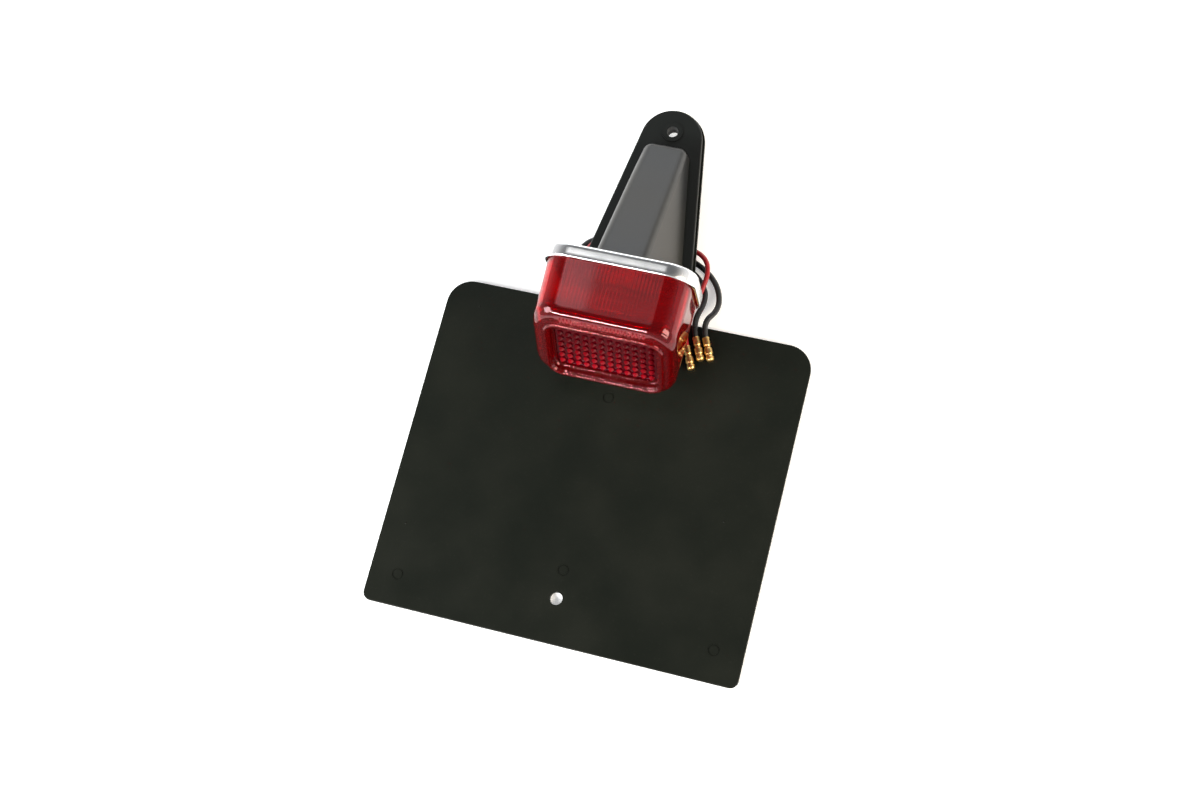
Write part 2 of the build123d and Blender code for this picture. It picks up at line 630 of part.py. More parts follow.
def contact_spring():
    """Coil spring between the carrier and the socket's rear lip."""
    start = CAP_END + TIP_L + CARRIER_T + SPRING_WIRE_R + SPRING_GAP
    end = SOCKET_BACK - SOCKET_WALL - SPRING_WIRE_R - SPRING_GAP
    path = Helix((end - start) / SPRING_TURNS, end - start, SPRING_R)
    profile = Plane(origin=path @ 0, z_dir=path % 0) * Circle(SPRING_WIRE_R)
    coil = sweep(profile, path=path, is_frenet=True)
    return on_lamp(Pos(0, start, BULB_Z) * Rot(-90, 0, 0) * coil)


def bulb_cap():
    """Bayonet cap of the bulb, with its black insulating end."""
    end = CAP_END - CONTACT_SINK
    cap = along_y(CAP_R, CAP_FRONT, end - CAP_CONE_L, 0, BULB_Z)
    cone = Cone(CAP_R, CAP_R - CAP_CHAMFER, CAP_CONE_L)
    cap += Pos(0, end - CAP_CONE_L / 2, BULB_Z) * Rot(-90, 0, 0) * cone
    cap -= along_y(CAP_R - CAP_WALL, CAP_FRONT - CUT, CAP_END - CAP_END_T, 0, BULB_Z)
    for side in (-1, 1):
        hole = Rot(0, 90, 0) * Cylinder(PIN_R, 2 * PIN_L)
        cap -= Pos(side * CAP_R, PIN_Y, BULB_Z) * hole
    return on_lamp(cap)


def bulb_pins():
    """The two bayonet pins."""
    made = []
    for side in (-1, 1):
        pin = Rot(0, 90, 0) * Cylinder(PIN_R, PIN_L)
        made.append(on_lamp(Pos(side * (CAP_R + PIN_OUT), PIN_Y, BULB_Z) * pin))
    return Compound(made)


def bulb_glass():
    """Blown glass envelope: a ball on a short neck, closed as a thin shell."""
    def envelope(shrink):
        ball = Pos(0, GLASS_Y, BULB_Z) * Sphere(GLASS_R - shrink)
        neck = along_y(NECK_R - shrink, NECK_BACK - shrink, GLASS_Y, 0, BULB_Z)
        return ball + neck
    return on_lamp(envelope(0) - envelope(GLASS_T))


def bulb_filament_mount():
    """Glass foot, support wires and two coiled filaments inside the bulb."""
    mount = along_y(FOOT_R, FOOT_BACK, FOOT_FRONT, 0, BULB_Z)
    for y, z, half_w in FILAMENTS:
        for x in (-half_w, half_w):
            mount += along_y(SUPPORT_R, FOOT_FRONT + CUT, y - FILAMENT_R / 2, x, BULB_Z + z)
        coil = Rot(0, 90, 0) * Cylinder(FILAMENT_R, 2 * (half_w + SUPPORT_R))
        mount += Pos(0, y, BULB_Z + z) * coil
    return on_lamp(mount)


def bulb_contacts():
    """Two solder contacts on the end of the cap."""
    made = []
    for x in (-CONTACT_X, CONTACT_X):
        pip = along_y(CONTACT_R, CAP_END - CONTACT_SINK, CAP_END + CONTACT_H, x, BULB_Z)
        pip = fillet(pip.edges().sort_by(Axis.Y)[-1], CONTACT_ROUND)
        made.append(on_lamp(pip))
    return Compound(made)


# --- wiring ---
def wire_boot():
    """Rubber elbow that leads the wires out sideways under the tongue."""
    y = RIM_Y + BOOT_Y
    front = RIM_Y + BOOT_FRONT
    back = y + BOOT_END_X
    plug = along_z(BOOT_PLUG_R, BOOT_TOP, BASE_Z + GASKET_T + FLANGE_T + BOOT_PLUG_UP, 0, y)
    elbow = Box(BOOT_END_X - BOOT_EXIT_X, back - front, BOOT_TOP - BOOT_LOW)
    elbow = Pos((BOOT_END_X + BOOT_EXIT_X) / 2, (front + back) / 2, (BOOT_TOP + BOOT_LOW) / 2) * elbow
    elbow = fillet(elbow.edges().filter_by(Axis.X), BOOT_ROUND)
    collar = along_z(BOOT_COLLAR_R, BOOT_TOP - CUT, LIFT, 0, y)
    return plug + elbow + collar


def tube(points, diameter, name):
    """A wire as straight runs joined by arcs as large as the runs allow."""
    route = [Vector(*p) for p in points]
    radii = []
    for before, here, after in zip(route, route[1:], route[2:]):
        turn = (here - before).get_angle(after - here)
        shorter = min((here - before).length, (after - here).length)
        radii.append(ARC_SHARE * shorter / math.tan(math.radians(turn) / 2))
    path = FilletPolyline(*points, radius=radii)
    start = Plane(origin=path @ 0, z_dir=path % 0)
    solid = sweep(start * Circle(diameter / 2), path=path)
    expected = math.pi * diameter ** 2 / 4 * path.length
    print(f"{name}: length {path.length:.1f}, smallest radius {min(radii):.1f},"
          f" volume {solid.volume / expected:.4f} of section times length")
    return solid


def bullet(back, heading):
    """Crimped brass bullet connector whose rear face is at back."""
    angle = math.degrees(math.atan2(heading[1], heading[0]))
    profile = Polyline(
        (0, 0), (1.7, 0), (1.7, 4.2), (1.35, 4.6), (1.35, 5.2), (BULLET_R, 5.6),
        (BULLET_R, 8.4), (1.7, 8.9), (1.7, 9.4), (BULLET_R, 9.9), (BULLET_R, 11.0),
        (1.2, BULLET_L), (0, BULLET_L), close=True,
    )
    parts = revolve(Plane.XZ * make_face(profile), Axis.Z)
    return Pos(*back) * Rot(0, 0, angle) * Rot(0, 90, 0) * parts


# The leads loop to the left under the tongue, come back and run round to the plate's top edge.
BLACK_OUTER_ROUTE = [
    (-9.0, 39.5, 2.3), (-25.7, 39.5, 1.5), (-33.0, 46.8, 1.45), (-33.0, 57.2, 1.45),
    (-25.7, 64.5, 1.45), (-9.0, 63.9, 1.45), (10.0, 64.4, 1.45), (24.0, 61.6, 1.45),
    (33.5, 56.0, 1.45), (39.0, 49.0, 1.6), (41.0, 39.5, 3.4), (35.5, 30.8, 6.6),
    (38.4, 24.5, 4.55),
]
BLACK_INNER_ROUTE = [
    (-9.0, 42.65, 2.3), (-24.4, 42.65, 1.5), (-29.85, 48.1, 1.45), (-29.85, 55.9, 1.45),
    (-24.4, 61.35, 1.45), (-10.0, 60.7, 1.45), (8.0, 61.0, 1.45), (21.0, 58.2, 1.45),
    (30.0, 52.0, 1.45), (34.2, 43.5, 2.8), (30.9, 30.1, 6.4), (33.8, 23.8, 4.55),
]
RED_ROUTE = [
    (-9.0, 41.1, 5.0), (-22.4, 41.1, 4.3), (-29.0, 47.6, 4.2), (-29.0, 56.6, 4.2),
    (-22.8, 63.4, 4.6), (-10.0, 66.8, 4.4), (7.0, 68.2, 2.2), (21.0, 67.4, 2.4),
    (29.3, 63.2, 4.9), (32.3, 56.0, 5.7), (31.2, 46.5, 5.5), (29.0, 36.5, 5.0),
    (27.7, 24.9, 6.0), (30.6, 18.6, 4.55),
]
LEADS = [
    ("black_outer", BLACK_OUTER_ROUTE, BLACK_D),
    ("black_inner", BLACK_INNER_ROUTE, BLACK_D),
    ("red", RED_ROUTE, RED_D),
]


def main():
    os.makedirs("parts", exist_ok=True)
    write(number_plate_bracket(), "number_plate_bracket")
    write(base_gasket(), "base_gasket")
    write(lamp_housing(), "lamp_housing")
    write(base_inserts(), "base_inserts")
    write(bracket_screws(), "bracket_screws")
    write(chrome_rim(), "chrome_rim")
    write(lens_seal(), "lens_seal")
    write(red_lens(), "red_lens")
    write(plate_light_window(), "plate_light_window")
    write(reflex_reflector(), "reflex_reflector")
    write(lens_screws(), "lens_screws")
    write(reflector_plate(), "reflector_plate")
    write(reflector_screws(), "reflector_screws")
    write(bulb_socket(), "bulb_socket")
    write(contact_carrier(), "contact_carrier")
    write(contact_tips(), "contact_tips")
    write(contact_spring(), "contact_spring")
    write(bulb_cap(), "bulb_cap")
    write(bulb_pins(), "bulb_pins")
    write(bulb_glass(), "bulb_glass")
    write(bulb_filament_mount(), "bulb_filament_mount")
    write(bulb_contacts(), "bulb_contacts")
    write(wire_boot(), "wire_boot")
    for name, route, diameter in LEADS:
        write(tube(route, diameter, name), f"wire_{name}")
        before, end = route[-2:]
        write(bullet(end, (end[0] - before[0], end[1] - before[1])), f"bullet_{name}")


main()
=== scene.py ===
import math

import bmesh
import bpy
from mathutils import Euler, Matrix, Vector


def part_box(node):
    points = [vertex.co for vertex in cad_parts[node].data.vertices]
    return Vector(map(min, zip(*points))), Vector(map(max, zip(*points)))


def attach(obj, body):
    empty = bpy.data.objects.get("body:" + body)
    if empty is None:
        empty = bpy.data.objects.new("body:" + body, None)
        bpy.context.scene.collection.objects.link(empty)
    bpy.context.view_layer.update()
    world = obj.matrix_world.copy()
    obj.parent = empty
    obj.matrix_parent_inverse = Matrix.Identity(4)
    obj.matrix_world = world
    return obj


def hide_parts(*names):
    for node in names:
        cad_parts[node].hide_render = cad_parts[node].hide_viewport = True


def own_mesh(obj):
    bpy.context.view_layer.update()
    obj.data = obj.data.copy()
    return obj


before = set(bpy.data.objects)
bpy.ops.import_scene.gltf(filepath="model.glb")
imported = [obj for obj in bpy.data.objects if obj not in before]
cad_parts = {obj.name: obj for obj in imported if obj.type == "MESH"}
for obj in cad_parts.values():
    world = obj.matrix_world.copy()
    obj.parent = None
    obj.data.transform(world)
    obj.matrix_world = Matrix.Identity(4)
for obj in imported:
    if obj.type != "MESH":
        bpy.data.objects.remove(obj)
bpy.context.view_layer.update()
scene = bpy.context.scene
mm = 0.001

# every place below hangs on these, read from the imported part
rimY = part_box("chrome_rim")[1].y                  # rear plane of the rim
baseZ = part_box("number_plate_bracket")[1].z       # top face of the bracket's tongue
lampBase = Vector((0, rimY / mm, baseZ / mm))     # the lamp's own origin, in mm
print("frame loaded,", len(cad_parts), "nodes")


view = {"place": (0.1526, -0.1905, 0.7545), "turn": (15.376, 8.13, 14.492), "lens": 50.0}


def makeCamera():
    data = bpy.data.cameras.new("camera")
    data.lens = view["lens"]
    data.clip_start = 0.01
    camera = bpy.data.objects.new("camera", data)
    camera.location = view["place"]
    camera.rotation_euler = Euler([math.radians(a) for a in view["turn"]])
    scene.collection.objects.link(camera)
    scene.camera = camera


makeCamera()


def addNode(tree, kind, x=0, y=0, **settings):
    node = tree.nodes.new(kind)
    node.location = (x, y)
    for name, value in settings.items():
        setattr(node, name, value)
    return node


def newGroup(name, inputs, outputs):
    # inputs are (name, socket type, default), outputs are (name, socket type)
    tree = bpy.data.node_groups.new(name, "ShaderNodeTree")
    for label, kind, value in inputs:
        socket = tree.interface.new_socket(name=label, in_out="INPUT", socket_type=kind)
        socket.default_value = value
    for label, kind in outputs:
        tree.interface.new_socket(name=label, in_out="OUTPUT", socket_type=kind)
    return tree, addNode(tree, "NodeGroupInput", -900), addNode(tree, "NodeGroupOutput", 900)


def mouldedSurfaceGroup():
    # colour drift, roughness drift and a fine grain, for every moulded or pressed surface
    tree, start, end = newGroup(
        "mouldedSurface",
        [("Color", "NodeSocketColor", (0.5, 0.5, 0.5, 1)),
         ("Drift Color", "NodeSocketColor", (0.5, 0.5, 0.5, 1)),
         ("Drift Scale", "NodeSocketFloat", 40.0), ("Drift Amount", "NodeSocketFloat", 0.5),
         ("Roughness", "NodeSocketFloat", 0.4), ("Roughness Drift", "NodeSocketFloat", 0.1),
         ("Grain Scale", "NodeSocketFloat", 2500.0), ("Grain Height", "NodeSocketFloat", 0.2)],
        [("Color", "NodeSocketColor"), ("Roughness", "NodeSocketFloat"), ("Height", "NodeSocketFloat")])
    link = tree.links.new
    place = addNode(tree, "ShaderNodeTexCoord", -900, -300)
    drift = addNode(tree, "ShaderNodeTexNoise", -600, 200)
    drift.inputs["Detail"].default_value = 5.0
    grain = addNode(tree, "ShaderNodeTexNoise", -600, -300)
    grain.inputs["Detail"].default_value = 3.0
    link(place.outputs["Object"], drift.inputs["Vector"])
    link(place.outputs["Object"], grain.inputs["Vector"])
    link(start.outputs["Drift Scale"], drift.inputs["Scale"])
    link(start.outputs["Grain Scale"], grain.inputs["Scale"])
    spread = addNode(tree, "ShaderNodeMapRange", -350, 200)
    spread.inputs["From Min"].default_value = 0.35
    spread.inputs["From Max"].default_value = 0.65
    link(drift.outputs["Fac"], spread.inputs["Value"])
    amount = addNode(tree, "ShaderNodeMath", -150, 200, operation="MULTIPLY")
    link(spread.outputs["Result"], amount.inputs[0])
    link(start.outputs["Drift Amount"], amount.inputs[1])
    mix = addNode(tree, "ShaderNodeMix", 100, 200, data_type="RGBA")
    link(amount.outputs[0], mix.inputs[0])
    link(start.outputs["Color"], mix.inputs[6])
    link(start.outputs["Drift Color"], mix.inputs[7])
    link(mix.outputs[2], end.inputs["Color"])
    lean = addNode(tree, "ShaderNodeMath", -150, 0, operation="SUBTRACT")
    link(spread.outputs["Result"], lean.inputs[0])
    lean.inputs[1].default_value = 0.5
    shift = addNode(tree, "ShaderNodeMath", 100, 0, operation="MULTIPLY_ADD")
    link(lean.outputs[0], shift.inputs[0])
    link(start.outputs["Roughness Drift"], shift.inputs[1])
    link(start.outputs["Roughness"], shift.inputs[2])
    link(shift.outputs[0], end.inputs["Roughness"])
    height = addNode(tree, "ShaderNodeMath", 100, -300, operation="MULTIPLY")
    link(grain.outputs["Fac"], height.inputs[0])
    link(start.outputs["Grain Height"], height.inputs[1])
    link(height.outputs[0], end.inputs["Height"])
    return tree


def dustGroup():
    # pale dust that settles on faces that look up, in soft patches and specks
    tree, start, end = newGroup(
        "settledDust",
        [("Color", "NodeSocketColor", (0, 0, 0, 1)), ("Dust Color", "NodeSocketColor", (0.3, 0.28, 0.25, 1)),
         ("Amount", "NodeSocketFloat", 0.1)],
        [("Color", "NodeSocketColor")])
    link = tree.links.new
    place = addNode(tree, "ShaderNodeTexCoord", -900, -300)
    specks = addNode(tree, "ShaderNodeTexNoise", -600, -100)
    specks.inputs["Scale"].default_value = 900.0
    specks.inputs["Detail"].default_value = 2.0
    patches = addNode(tree, "ShaderNodeTexNoise", -600, -350)
    patches.inputs["Scale"].default_value = 25.0
    link(place.outputs["Object"], specks.inputs["Vector"])
    link(place.outputs["Object"], patches.inputs["Vector"])
    sharp = addNode(tree, "ShaderNodeMapRange", -350, -100)
    sharp.inputs["From Min"].default_value = 0.62
    sharp.inputs["From Max"].default_value = 0.72
    link(specks.outputs["Fac"], sharp.inputs["Value"])
    both = addNode(tree, "ShaderNodeMath", -150, -200, operation="ADD")
    link(sharp.outputs["Result"], both.inputs[0])
    link(patches.outputs["Fac"], both.inputs[1])
    facing = addNode(tree, "ShaderNodeNewGeometry", -600, -600)
    parts = addNode(tree, "ShaderNodeSeparateXYZ", -350, -600)
    link(facing.outputs["Normal"], parts.inputs[0])
    upward = addNode(tree, "ShaderNodeMath", -150, -600, operation="MULTIPLY", use_clamp=True)
    link(parts.outputs["Z"], upward.inputs[0])
    upward.inputs[1].default_value = 1.0
    lying = addNode(tree, "ShaderNodeMath", 50, -300, operation="MULTIPLY")
    link(both.outputs[0], lying.inputs[0])
    link(upward.outputs[0], lying.inputs[1])
    mask = addNode(tree, "ShaderNodeMath", 250, -300, operation="MULTIPLY", use_clamp=True)
    link(lying.outputs[0], mask.inputs[0])
    link(start.outputs["Amount"], mask.inputs[1])
    mix = addNode(tree, "ShaderNodeMix", 500, 100, data_type="RGBA")
    link(mask.outputs[0], mix.inputs[0])
    link(start.outputs["Color"], mix.inputs[6])
    link(start.outputs["Dust Color"], mix.inputs[7])
    link(mix.outputs[2], end.inputs["Color"])
    return tree


def bandGroup():
    # 0 below the level, 1 above it, measured along a direction in object space
    tree, start, end = newGroup(
        "paintedLightBand",
        [("Direction", "NodeSocketVector", (0, 0, 1)), ("Level", "NodeSocketFloat", 0.0),
         ("Blend", "NodeSocketFloat", 0.0005)],
        [("Above", "NodeSocketFloat")])
    place = addNode(tree, "ShaderNodeTexCoord", -900, -300)
    height = addNode(tree, "ShaderNodeVectorMath", -700, -300, operation="DOT_PRODUCT")
    tree.links.new(place.outputs["Object"], height.inputs[0])
    tree.links.new(start.outputs["Direction"], height.inputs[1])
    top = addNode(tree, "ShaderNodeMath", -700, 0, operation="ADD")
    tree.links.new(start.outputs["Level"], top.inputs[0])
    tree.links.new(start.outputs["Blend"], top.inputs[1])
    step = addNode(tree, "ShaderNodeMapRange", -400, 0, interpolation_type="SMOOTHSTEP")
    tree.links.new(height.outputs["Value"], step.inputs["Value"])
    tree.links.new(start.outputs["Level"], step.inputs["From Min"])
    tree.links.new(top.outputs[0], step.inputs["From Max"])
    tree.links.new(step.outputs["Result"], end.inputs["Above"])
    return tree


def sinkGroup():
    # the shallow wrinkled hollow that moulding leaves in a flat face
    tree, start, end = newGroup(
        "sinkMark",
        [("Place", "NodeSocketVector", (0, 0, 0)), ("Reach", "NodeSocketFloat", 0.01),
         ("Depth", "NodeSocketFloat", 0.0001)],
        [("Height", "NodeSocketFloat")])
    link = tree.links.new
    place = addNode(tree, "ShaderNodeTexCoord", -900, -200)
    wrinkle = addNode(tree, "ShaderNodeTexNoise", -700, -400)
    wrinkle.inputs["Scale"].default_value = 160.0
    link(place.outputs["Object"], wrinkle.inputs["Vector"])
    gap = addNode(tree, "ShaderNodeVectorMath", -600, 0, operation="DISTANCE")
    link(place.outputs["Object"], gap.inputs[0])
    link(start.outputs["Place"], gap.inputs[1])
    fall = addNode(tree, "ShaderNodeMapRange", -400, 0, interpolation_type="SMOOTHSTEP")
    fall.inputs["To Min"].default_value = 1.0
    fall.inputs["To Max"].default_value = 0.0
    link(gap.outputs["Value"], fall.inputs["Value"])
    link(start.outputs["Reach"], fall.inputs["From Max"])
    uneven = addNode(tree, "ShaderNodeMath", -200, -200, operation="MULTIPLY")
    link(fall.outputs["Result"], uneven.inputs[0])
    link(wrinkle.outputs["Fac"], uneven.inputs[1])
    deep = addNode(tree, "ShaderNodeMath", 100, -200, operation="MULTIPLY")
    link(uneven.outputs[0], deep.inputs[0])
    link(start.outputs["Depth"], deep.inputs[1])
    link(deep.outputs[0], end.inputs["Height"])
    return tree


mouldedSurface = mouldedSurfaceGroup()
settledDust = dustGroup()
paintedLightBand = bandGroup()
sinkMark = sinkGroup()
grainDepth = 0.00005
bandBlend = 0.0005


def makeMaterial(name, look):
    # look holds the group's values under "surface", the shader's own under "shader"
    material = bpy.data.materials.new(name)
    material.use_nodes = True
    tree = material.node_tree
    shader = tree.nodes["Principled BSDF"]
    for label, value in look.get("shader", {}).items():
        shader.inputs[label].default_value = value
    surface = addNode(tree, "ShaderNodeGroup", -600, 100, node_tree=mouldedSurface)
    for label, value in look["surface"].items():
        surface.inputs[label].default_value = value
    colour = surface.outputs["Color"]
    if look.get("dust"):
        dust = addNode(tree, "ShaderNodeGroup", -350, 200, node_tree=settledDust)
        dust.inputs["Amount"].default_value = look["dust"]
        tree.links.new(colour, dust.inputs["Color"])
        colour = dust.outputs["Color"]
    roughness = surface.outputs["Roughness"]
    if look.get("low"):
        # a second colour and roughness below a level: painted shade darkens the flange under the wedge and
        # the lens front, painted light brightens the lower pips
        band = addNode(tree, "ShaderNodeGroup", -350, 450, node_tree=paintedLightBand)
        band.inputs["Level"].default_value = look["low"]["level"]
        band.inputs["Blend"].default_value = look["low"].get("blend", bandBlend)
        band.inputs["Direction"].default_value = look["low"].get("direction", (0, 0, 1))
        tint = addNode(tree, "ShaderNodeMix", -100, 300, data_type="RGBA")
        tint.inputs[6].default_value = look["low"]["color"]
        rough = addNode(tree, "ShaderNodeMix", -100, 100)
        rough.inputs[2].default_value = look["low"]["roughness"]
        tree.links.new(band.outputs["Above"], tint.inputs[0])
        tree.links.new(band.outputs["Above"], rough.inputs[0])
        tree.links.new(colour, tint.inputs[7])
        tree.links.new(roughness, rough.inputs[3])
        colour, roughness = tint.outputs[2], rough.outputs[0]
    tree.links.new(colour, shader.inputs["Base Color"])
    tree.links.new(roughness, shader.inputs["Roughness"])
    bump = addNode(tree, "ShaderNodeBump", -250, -250)
    bump.inputs["Strength"].default_value = look.get("bump", 0.3)
    bump.inputs["Distance"].default_value = grainDepth
    tree.links.new(surface.outputs["Height"], bump.inputs["Height"])
    if look.get("sink"):
        sink = addNode(tree, "ShaderNodeGroup", -700, -500, node_tree=sinkMark)
        sink.inputs["Place"].default_value = look["sink"]["place"]
        sink.inputs["Reach"].default_value = look["sink"]["reach"]
        sink.inputs["Depth"].default_value = look["sink"]["depth"]
        hollow = addNode(tree, "ShaderNodeBump", -450, -450, invert=True)
        hollow.inputs["Distance"].default_value = 1.0
        tree.links.new(sink.outputs["Height"], hollow.inputs["Height"])
        tree.links.new(hollow.outputs["Normal"], bump.inputs["Normal"])
    tree.links.new(bump.outputs["Normal"], shader.inputs["Normal"])
    return material


def tone(r, g, b):
    return (r, g, b, 1.0)


lens = {"halfW": 34.0, "frontHalfW": 33.0, "topZ": 49.8, "lowZ": 5.0, "topDepth": 33.5, "lowDepth": 49.5,
        "wall": 2.6, "cornerR": 12.0, "frontCornerR": 13.0, "round": 3.2, "back": -3.3, "far": -57.5,
        "frontStation": -42.0,                 # where the corner radius and width of the front are taken
        "innerRound": 2.4, "frontWall": 3.2,
        "sideSteps": 14, "innerSteps": 22, "roundSteps": 8, "innerRoundSteps": 6}
faceSlope = (lens["lowDepth"] - lens["topDepth"]) / (lens["topZ"] - lens["lowZ"])
midZ = (lens["topZ"] + lens["lowZ"]) / 2
halfH = (lens["topZ"] - lens["lowZ"]) / 2


def faceY(z):
    return -(lens["topDepth"] + (lens["topZ"] - z) * faceSlope)


faceTilt = math.atan(faceSlope)
faceUp = Vector((0, math.sin(faceTilt), math.cos(faceTilt)))
faceOut = Vector((0, -math.cos(faceTilt), math.sin(faceTilt)))
facePlane = -faceOut.dot((lampBase + Vector((0, faceY(midZ), midZ))) * mm)     # where the front face lies

looks = {
    "bracketPlastic": {
        "surface": {"Color": tone(0.0045, 0.0058, 0.0042), "Drift Color": tone(0.007, 0.008, 0.0055),
                    "Drift Scale": 30.0,
                    "Drift Amount": 0.7, "Roughness": 0.42, "Roughness Drift": 0.12, "Grain Scale": 1800.0,
                    "Grain Height": 0.5},
        "shader": {"Specular IOR Level": 0.11}, "dust": 0.008, "bump": 0.35,
        "sink": {"place": (0.0, -0.036, 0.0025), "reach": 0.011, "depth": 0.00022}},
    "housingPlastic": {
        "surface": {"Color": tone(0.017, 0.0185, 0.020), "Drift Color": tone(0.025, 0.024, 0.021),
                    "Drift Scale": 22.0,
                    "Drift Amount": 0.8, "Roughness": 0.30, "Roughness Drift": 0.05, "Grain Scale": 2600.0,
                    "Grain Height": 0.5},
        "shader": {"Specular IOR Level": 0.34}, "bump": 0.2,
        # painted shade: the flange, tab and collar below this level are coloured near black
        "low": {"level": baseZ + 0.0049, "color": tone(0.0035, 0.0045, 0.004), "roughness": 0.42}},
    "rubber": {
        "surface": {"Color": tone(0.012, 0.012, 0.012), "Drift Color": tone(0.03, 0.03, 0.03),
                    "Roughness": 0.7,
                    "Grain Height": 0.6}, "bump": 0.4},
    "chrome": {
        "surface": {"Color": tone(0.83, 0.83, 0.84), "Drift Color": tone(0.76, 0.77, 0.80), "Roughness": 0.23,
                    "Roughness Drift": 0.06, "Drift Scale": 90.0, "Grain Height": 0.15},
        "shader": {"Metallic": 1.0}, "bump": 0.1},
    "redPlastic": {
        "surface": {"Color": tone(0.50, 0.0005, 0.003), "Drift Color": tone(0.42, 0.0005, 0.002),
                    "Drift Scale": 35.0,
                    "Drift Amount": 0.4, "Roughness": 0.045, "Roughness Drift": 0.02, "Grain Height": 0.06},
        "shader": {"Transmission Weight": 0.86, "IOR": 1.49, "Specular Tint": tone(1.0, 0.62, 0.66)},
        "bump": 0.08,
        # painted shade: a deeper red over the whole front, in the first few mm behind the face
        "low": {"direction": tuple(-faceOut), "level": facePlane + 0.0035, "blend": 0.003,
                "color": tone(0.30, 0.0, 0.002), "roughness": 0.035}},
    "reflexRed": {
        "surface": {"Color": tone(0.07, 0.0, 0.002), "Drift Color": tone(0.04, 0.0, 0.0015),
                    "Roughness": 0.12,
                    "Grain Height": 0.1},
        "shader": {"Transmission Weight": 0.2, "IOR": 1.49, "Specular IOR Level": 0.3},
        "bump": 0.05},
    "reflexPip": {
        "surface": {"Color": tone(0.07, 0.0, 0.002), "Drift Color": tone(0.035, 0.0, 0.001),
                    "Drift Scale": 45.0,
                    "Roughness": 0.2, "Grain Height": 0.1},
        "shader": {"Transmission Weight": 0.15, "IOR": 1.49, "Specular IOR Level": 0.25},
        "bump": 0.05,
        # painted light: the lower pips are coloured a brighter red, fading to the darker red higher up
        "low": {"level": baseZ + 0.010, "blend": 0.022, "color": tone(0.24, 0.001, 0.006), "roughness": 0.2}},
    "clearPlastic": {
        "surface": {"Color": tone(0.95, 0.95, 0.94), "Drift Color": tone(0.9, 0.9, 0.9), "Roughness": 0.06,
                    "Grain Height": 0.1},
        "shader": {"Transmission Weight": 1.0, "IOR": 1.49}, "bump": 0.05},
    "bulbGlass": {
        "surface": {"Color": tone(0.98, 0.98, 0.98), "Drift Color": tone(0.95, 0.96, 0.96), "Roughness": 0.02,
                    "Roughness Drift": 0.0, "Grain Height": 0.0},
        "shader": {"Transmission Weight": 1.0, "IOR": 1.5}, "bump": 0.02},
    "brass": {
        "surface": {"Color": tone(0.80, 0.52, 0.19), "Drift Color": tone(0.70, 0.44, 0.15),
                    "Drift Scale": 260.0,
                    "Roughness": 0.34, "Roughness Drift": 0.10, "Grain Scale": 2200.0, "Grain Height": 0.4},
        "shader": {"Metallic": 1.0}, "bump": 0.25},
    "zincSteel": {
        "surface": {"Color": tone(0.62, 0.62, 0.63), "Drift Color": tone(0.50, 0.50, 0.47),
                    "Drift Scale": 200.0,
                    "Roughness": 0.32, "Grain Height": 0.4}, "shader": {"Metallic": 1.0}, "bump": 0.2},
    "brightSheet": {
        "surface": {"Color": tone(0.86, 0.86, 0.87), "Drift Color": tone(0.78, 0.78, 0.78), "Roughness": 0.2,
                    "Grain Height": 0.2}, "shader": {"Metallic": 1.0}, "bump": 0.1},
    "brownInsulator": {
        "surface": {"Color": tone(0.09, 0.035, 0.014), "Drift Color": tone(0.13, 0.06, 0.025),
                    "Roughness": 0.45,
                    "Grain Height": 0.5}, "bump": 0.3},
    "pvcBlack": {
        "surface": {"Color": tone(0.012, 0.012, 0.013), "Drift Color": tone(0.022, 0.022, 0.022),
                    "Drift Scale": 150.0,
                    "Roughness": 0.3, "Grain Height": 0.3},
        "shader": {"Specular IOR Level": 0.55}, "bump": 0.15},
    "pvcRed": {
        "surface": {"Color": tone(0.36, 0.012, 0.016), "Drift Color": tone(0.27, 0.008, 0.012),
                    "Drift Scale": 150.0,
                    "Roughness": 0.32, "Grain Height": 0.3}, "bump": 0.15},
}
materials = {name: makeMaterial(name, look) for name, look in looks.items()}
print("materials made,", len(materials))


leads = {
    "blackOuter": {"node": "wire_black_outer", "bullet": "bullet_black_outer", "material": "pvcBlack",
                   "slot": "wire_black", "diameter": 2.8, "length": 0.1407, "route": [
        (-9.0, 39.5, 2.3), (-25.7, 39.5, 1.5), (-33.0, 46.8, 1.45), (-33.0, 57.2, 1.45), (-25.7, 64.5, 1.45),
        (-9.0, 63.9, 1.45), (10.0, 64.4, 1.45), (24.0, 61.6, 1.45), (33.5, 56.0, 1.45), (39.0, 49.0, 1.6),
        (41.0, 39.5, 3.4), (35.5, 30.8, 6.6), (38.4, 24.5, 4.55)]},
    "blackInner": {"node": "wire_black_inner", "bullet": "bullet_black_inner", "material": "pvcBlack",
                   "slot": "wire_black", "diameter": 2.8, "length": 0.1225, "route": [
        (-9.0, 42.65, 2.3), (-24.4, 42.65, 1.5), (-29.85, 48.1, 1.45), (-29.85, 55.9, 1.45),
        (-24.4, 61.35, 1.45), (-10.0, 60.7, 1.45), (8.0, 61.0, 1.45), (21.0, 58.2, 1.45), (30.0, 52.0, 1.45),
        (34.2, 43.5, 2.8), (30.9, 30.1, 6.4), (33.8, 23.8, 4.55)]},
    "red": {"node": "wire_red", "bullet": "bullet_red", "material": "pvcRed", "slot": "wire_red",
            "diameter": 2.4, "length": 0.1382, "route": [
        (-9.0, 41.1, 5.0), (-22.4, 41.1, 4.3), (-29.0, 47.6, 4.2), (-29.0, 56.6, 4.2), (-22.8, 63.4, 4.6),
        (-10.0, 66.8, 4.4), (7.0, 68.2, 2.2), (21.0, 67.4, 2.4), (29.3, 63.2, 4.9), (32.3, 56.0, 5.7),
        (31.2, 46.5, 5.5), (29.0, 36.5, 5.0), (27.7, 24.9, 6.0), (30.6, 18.6, 4.55)]},
}
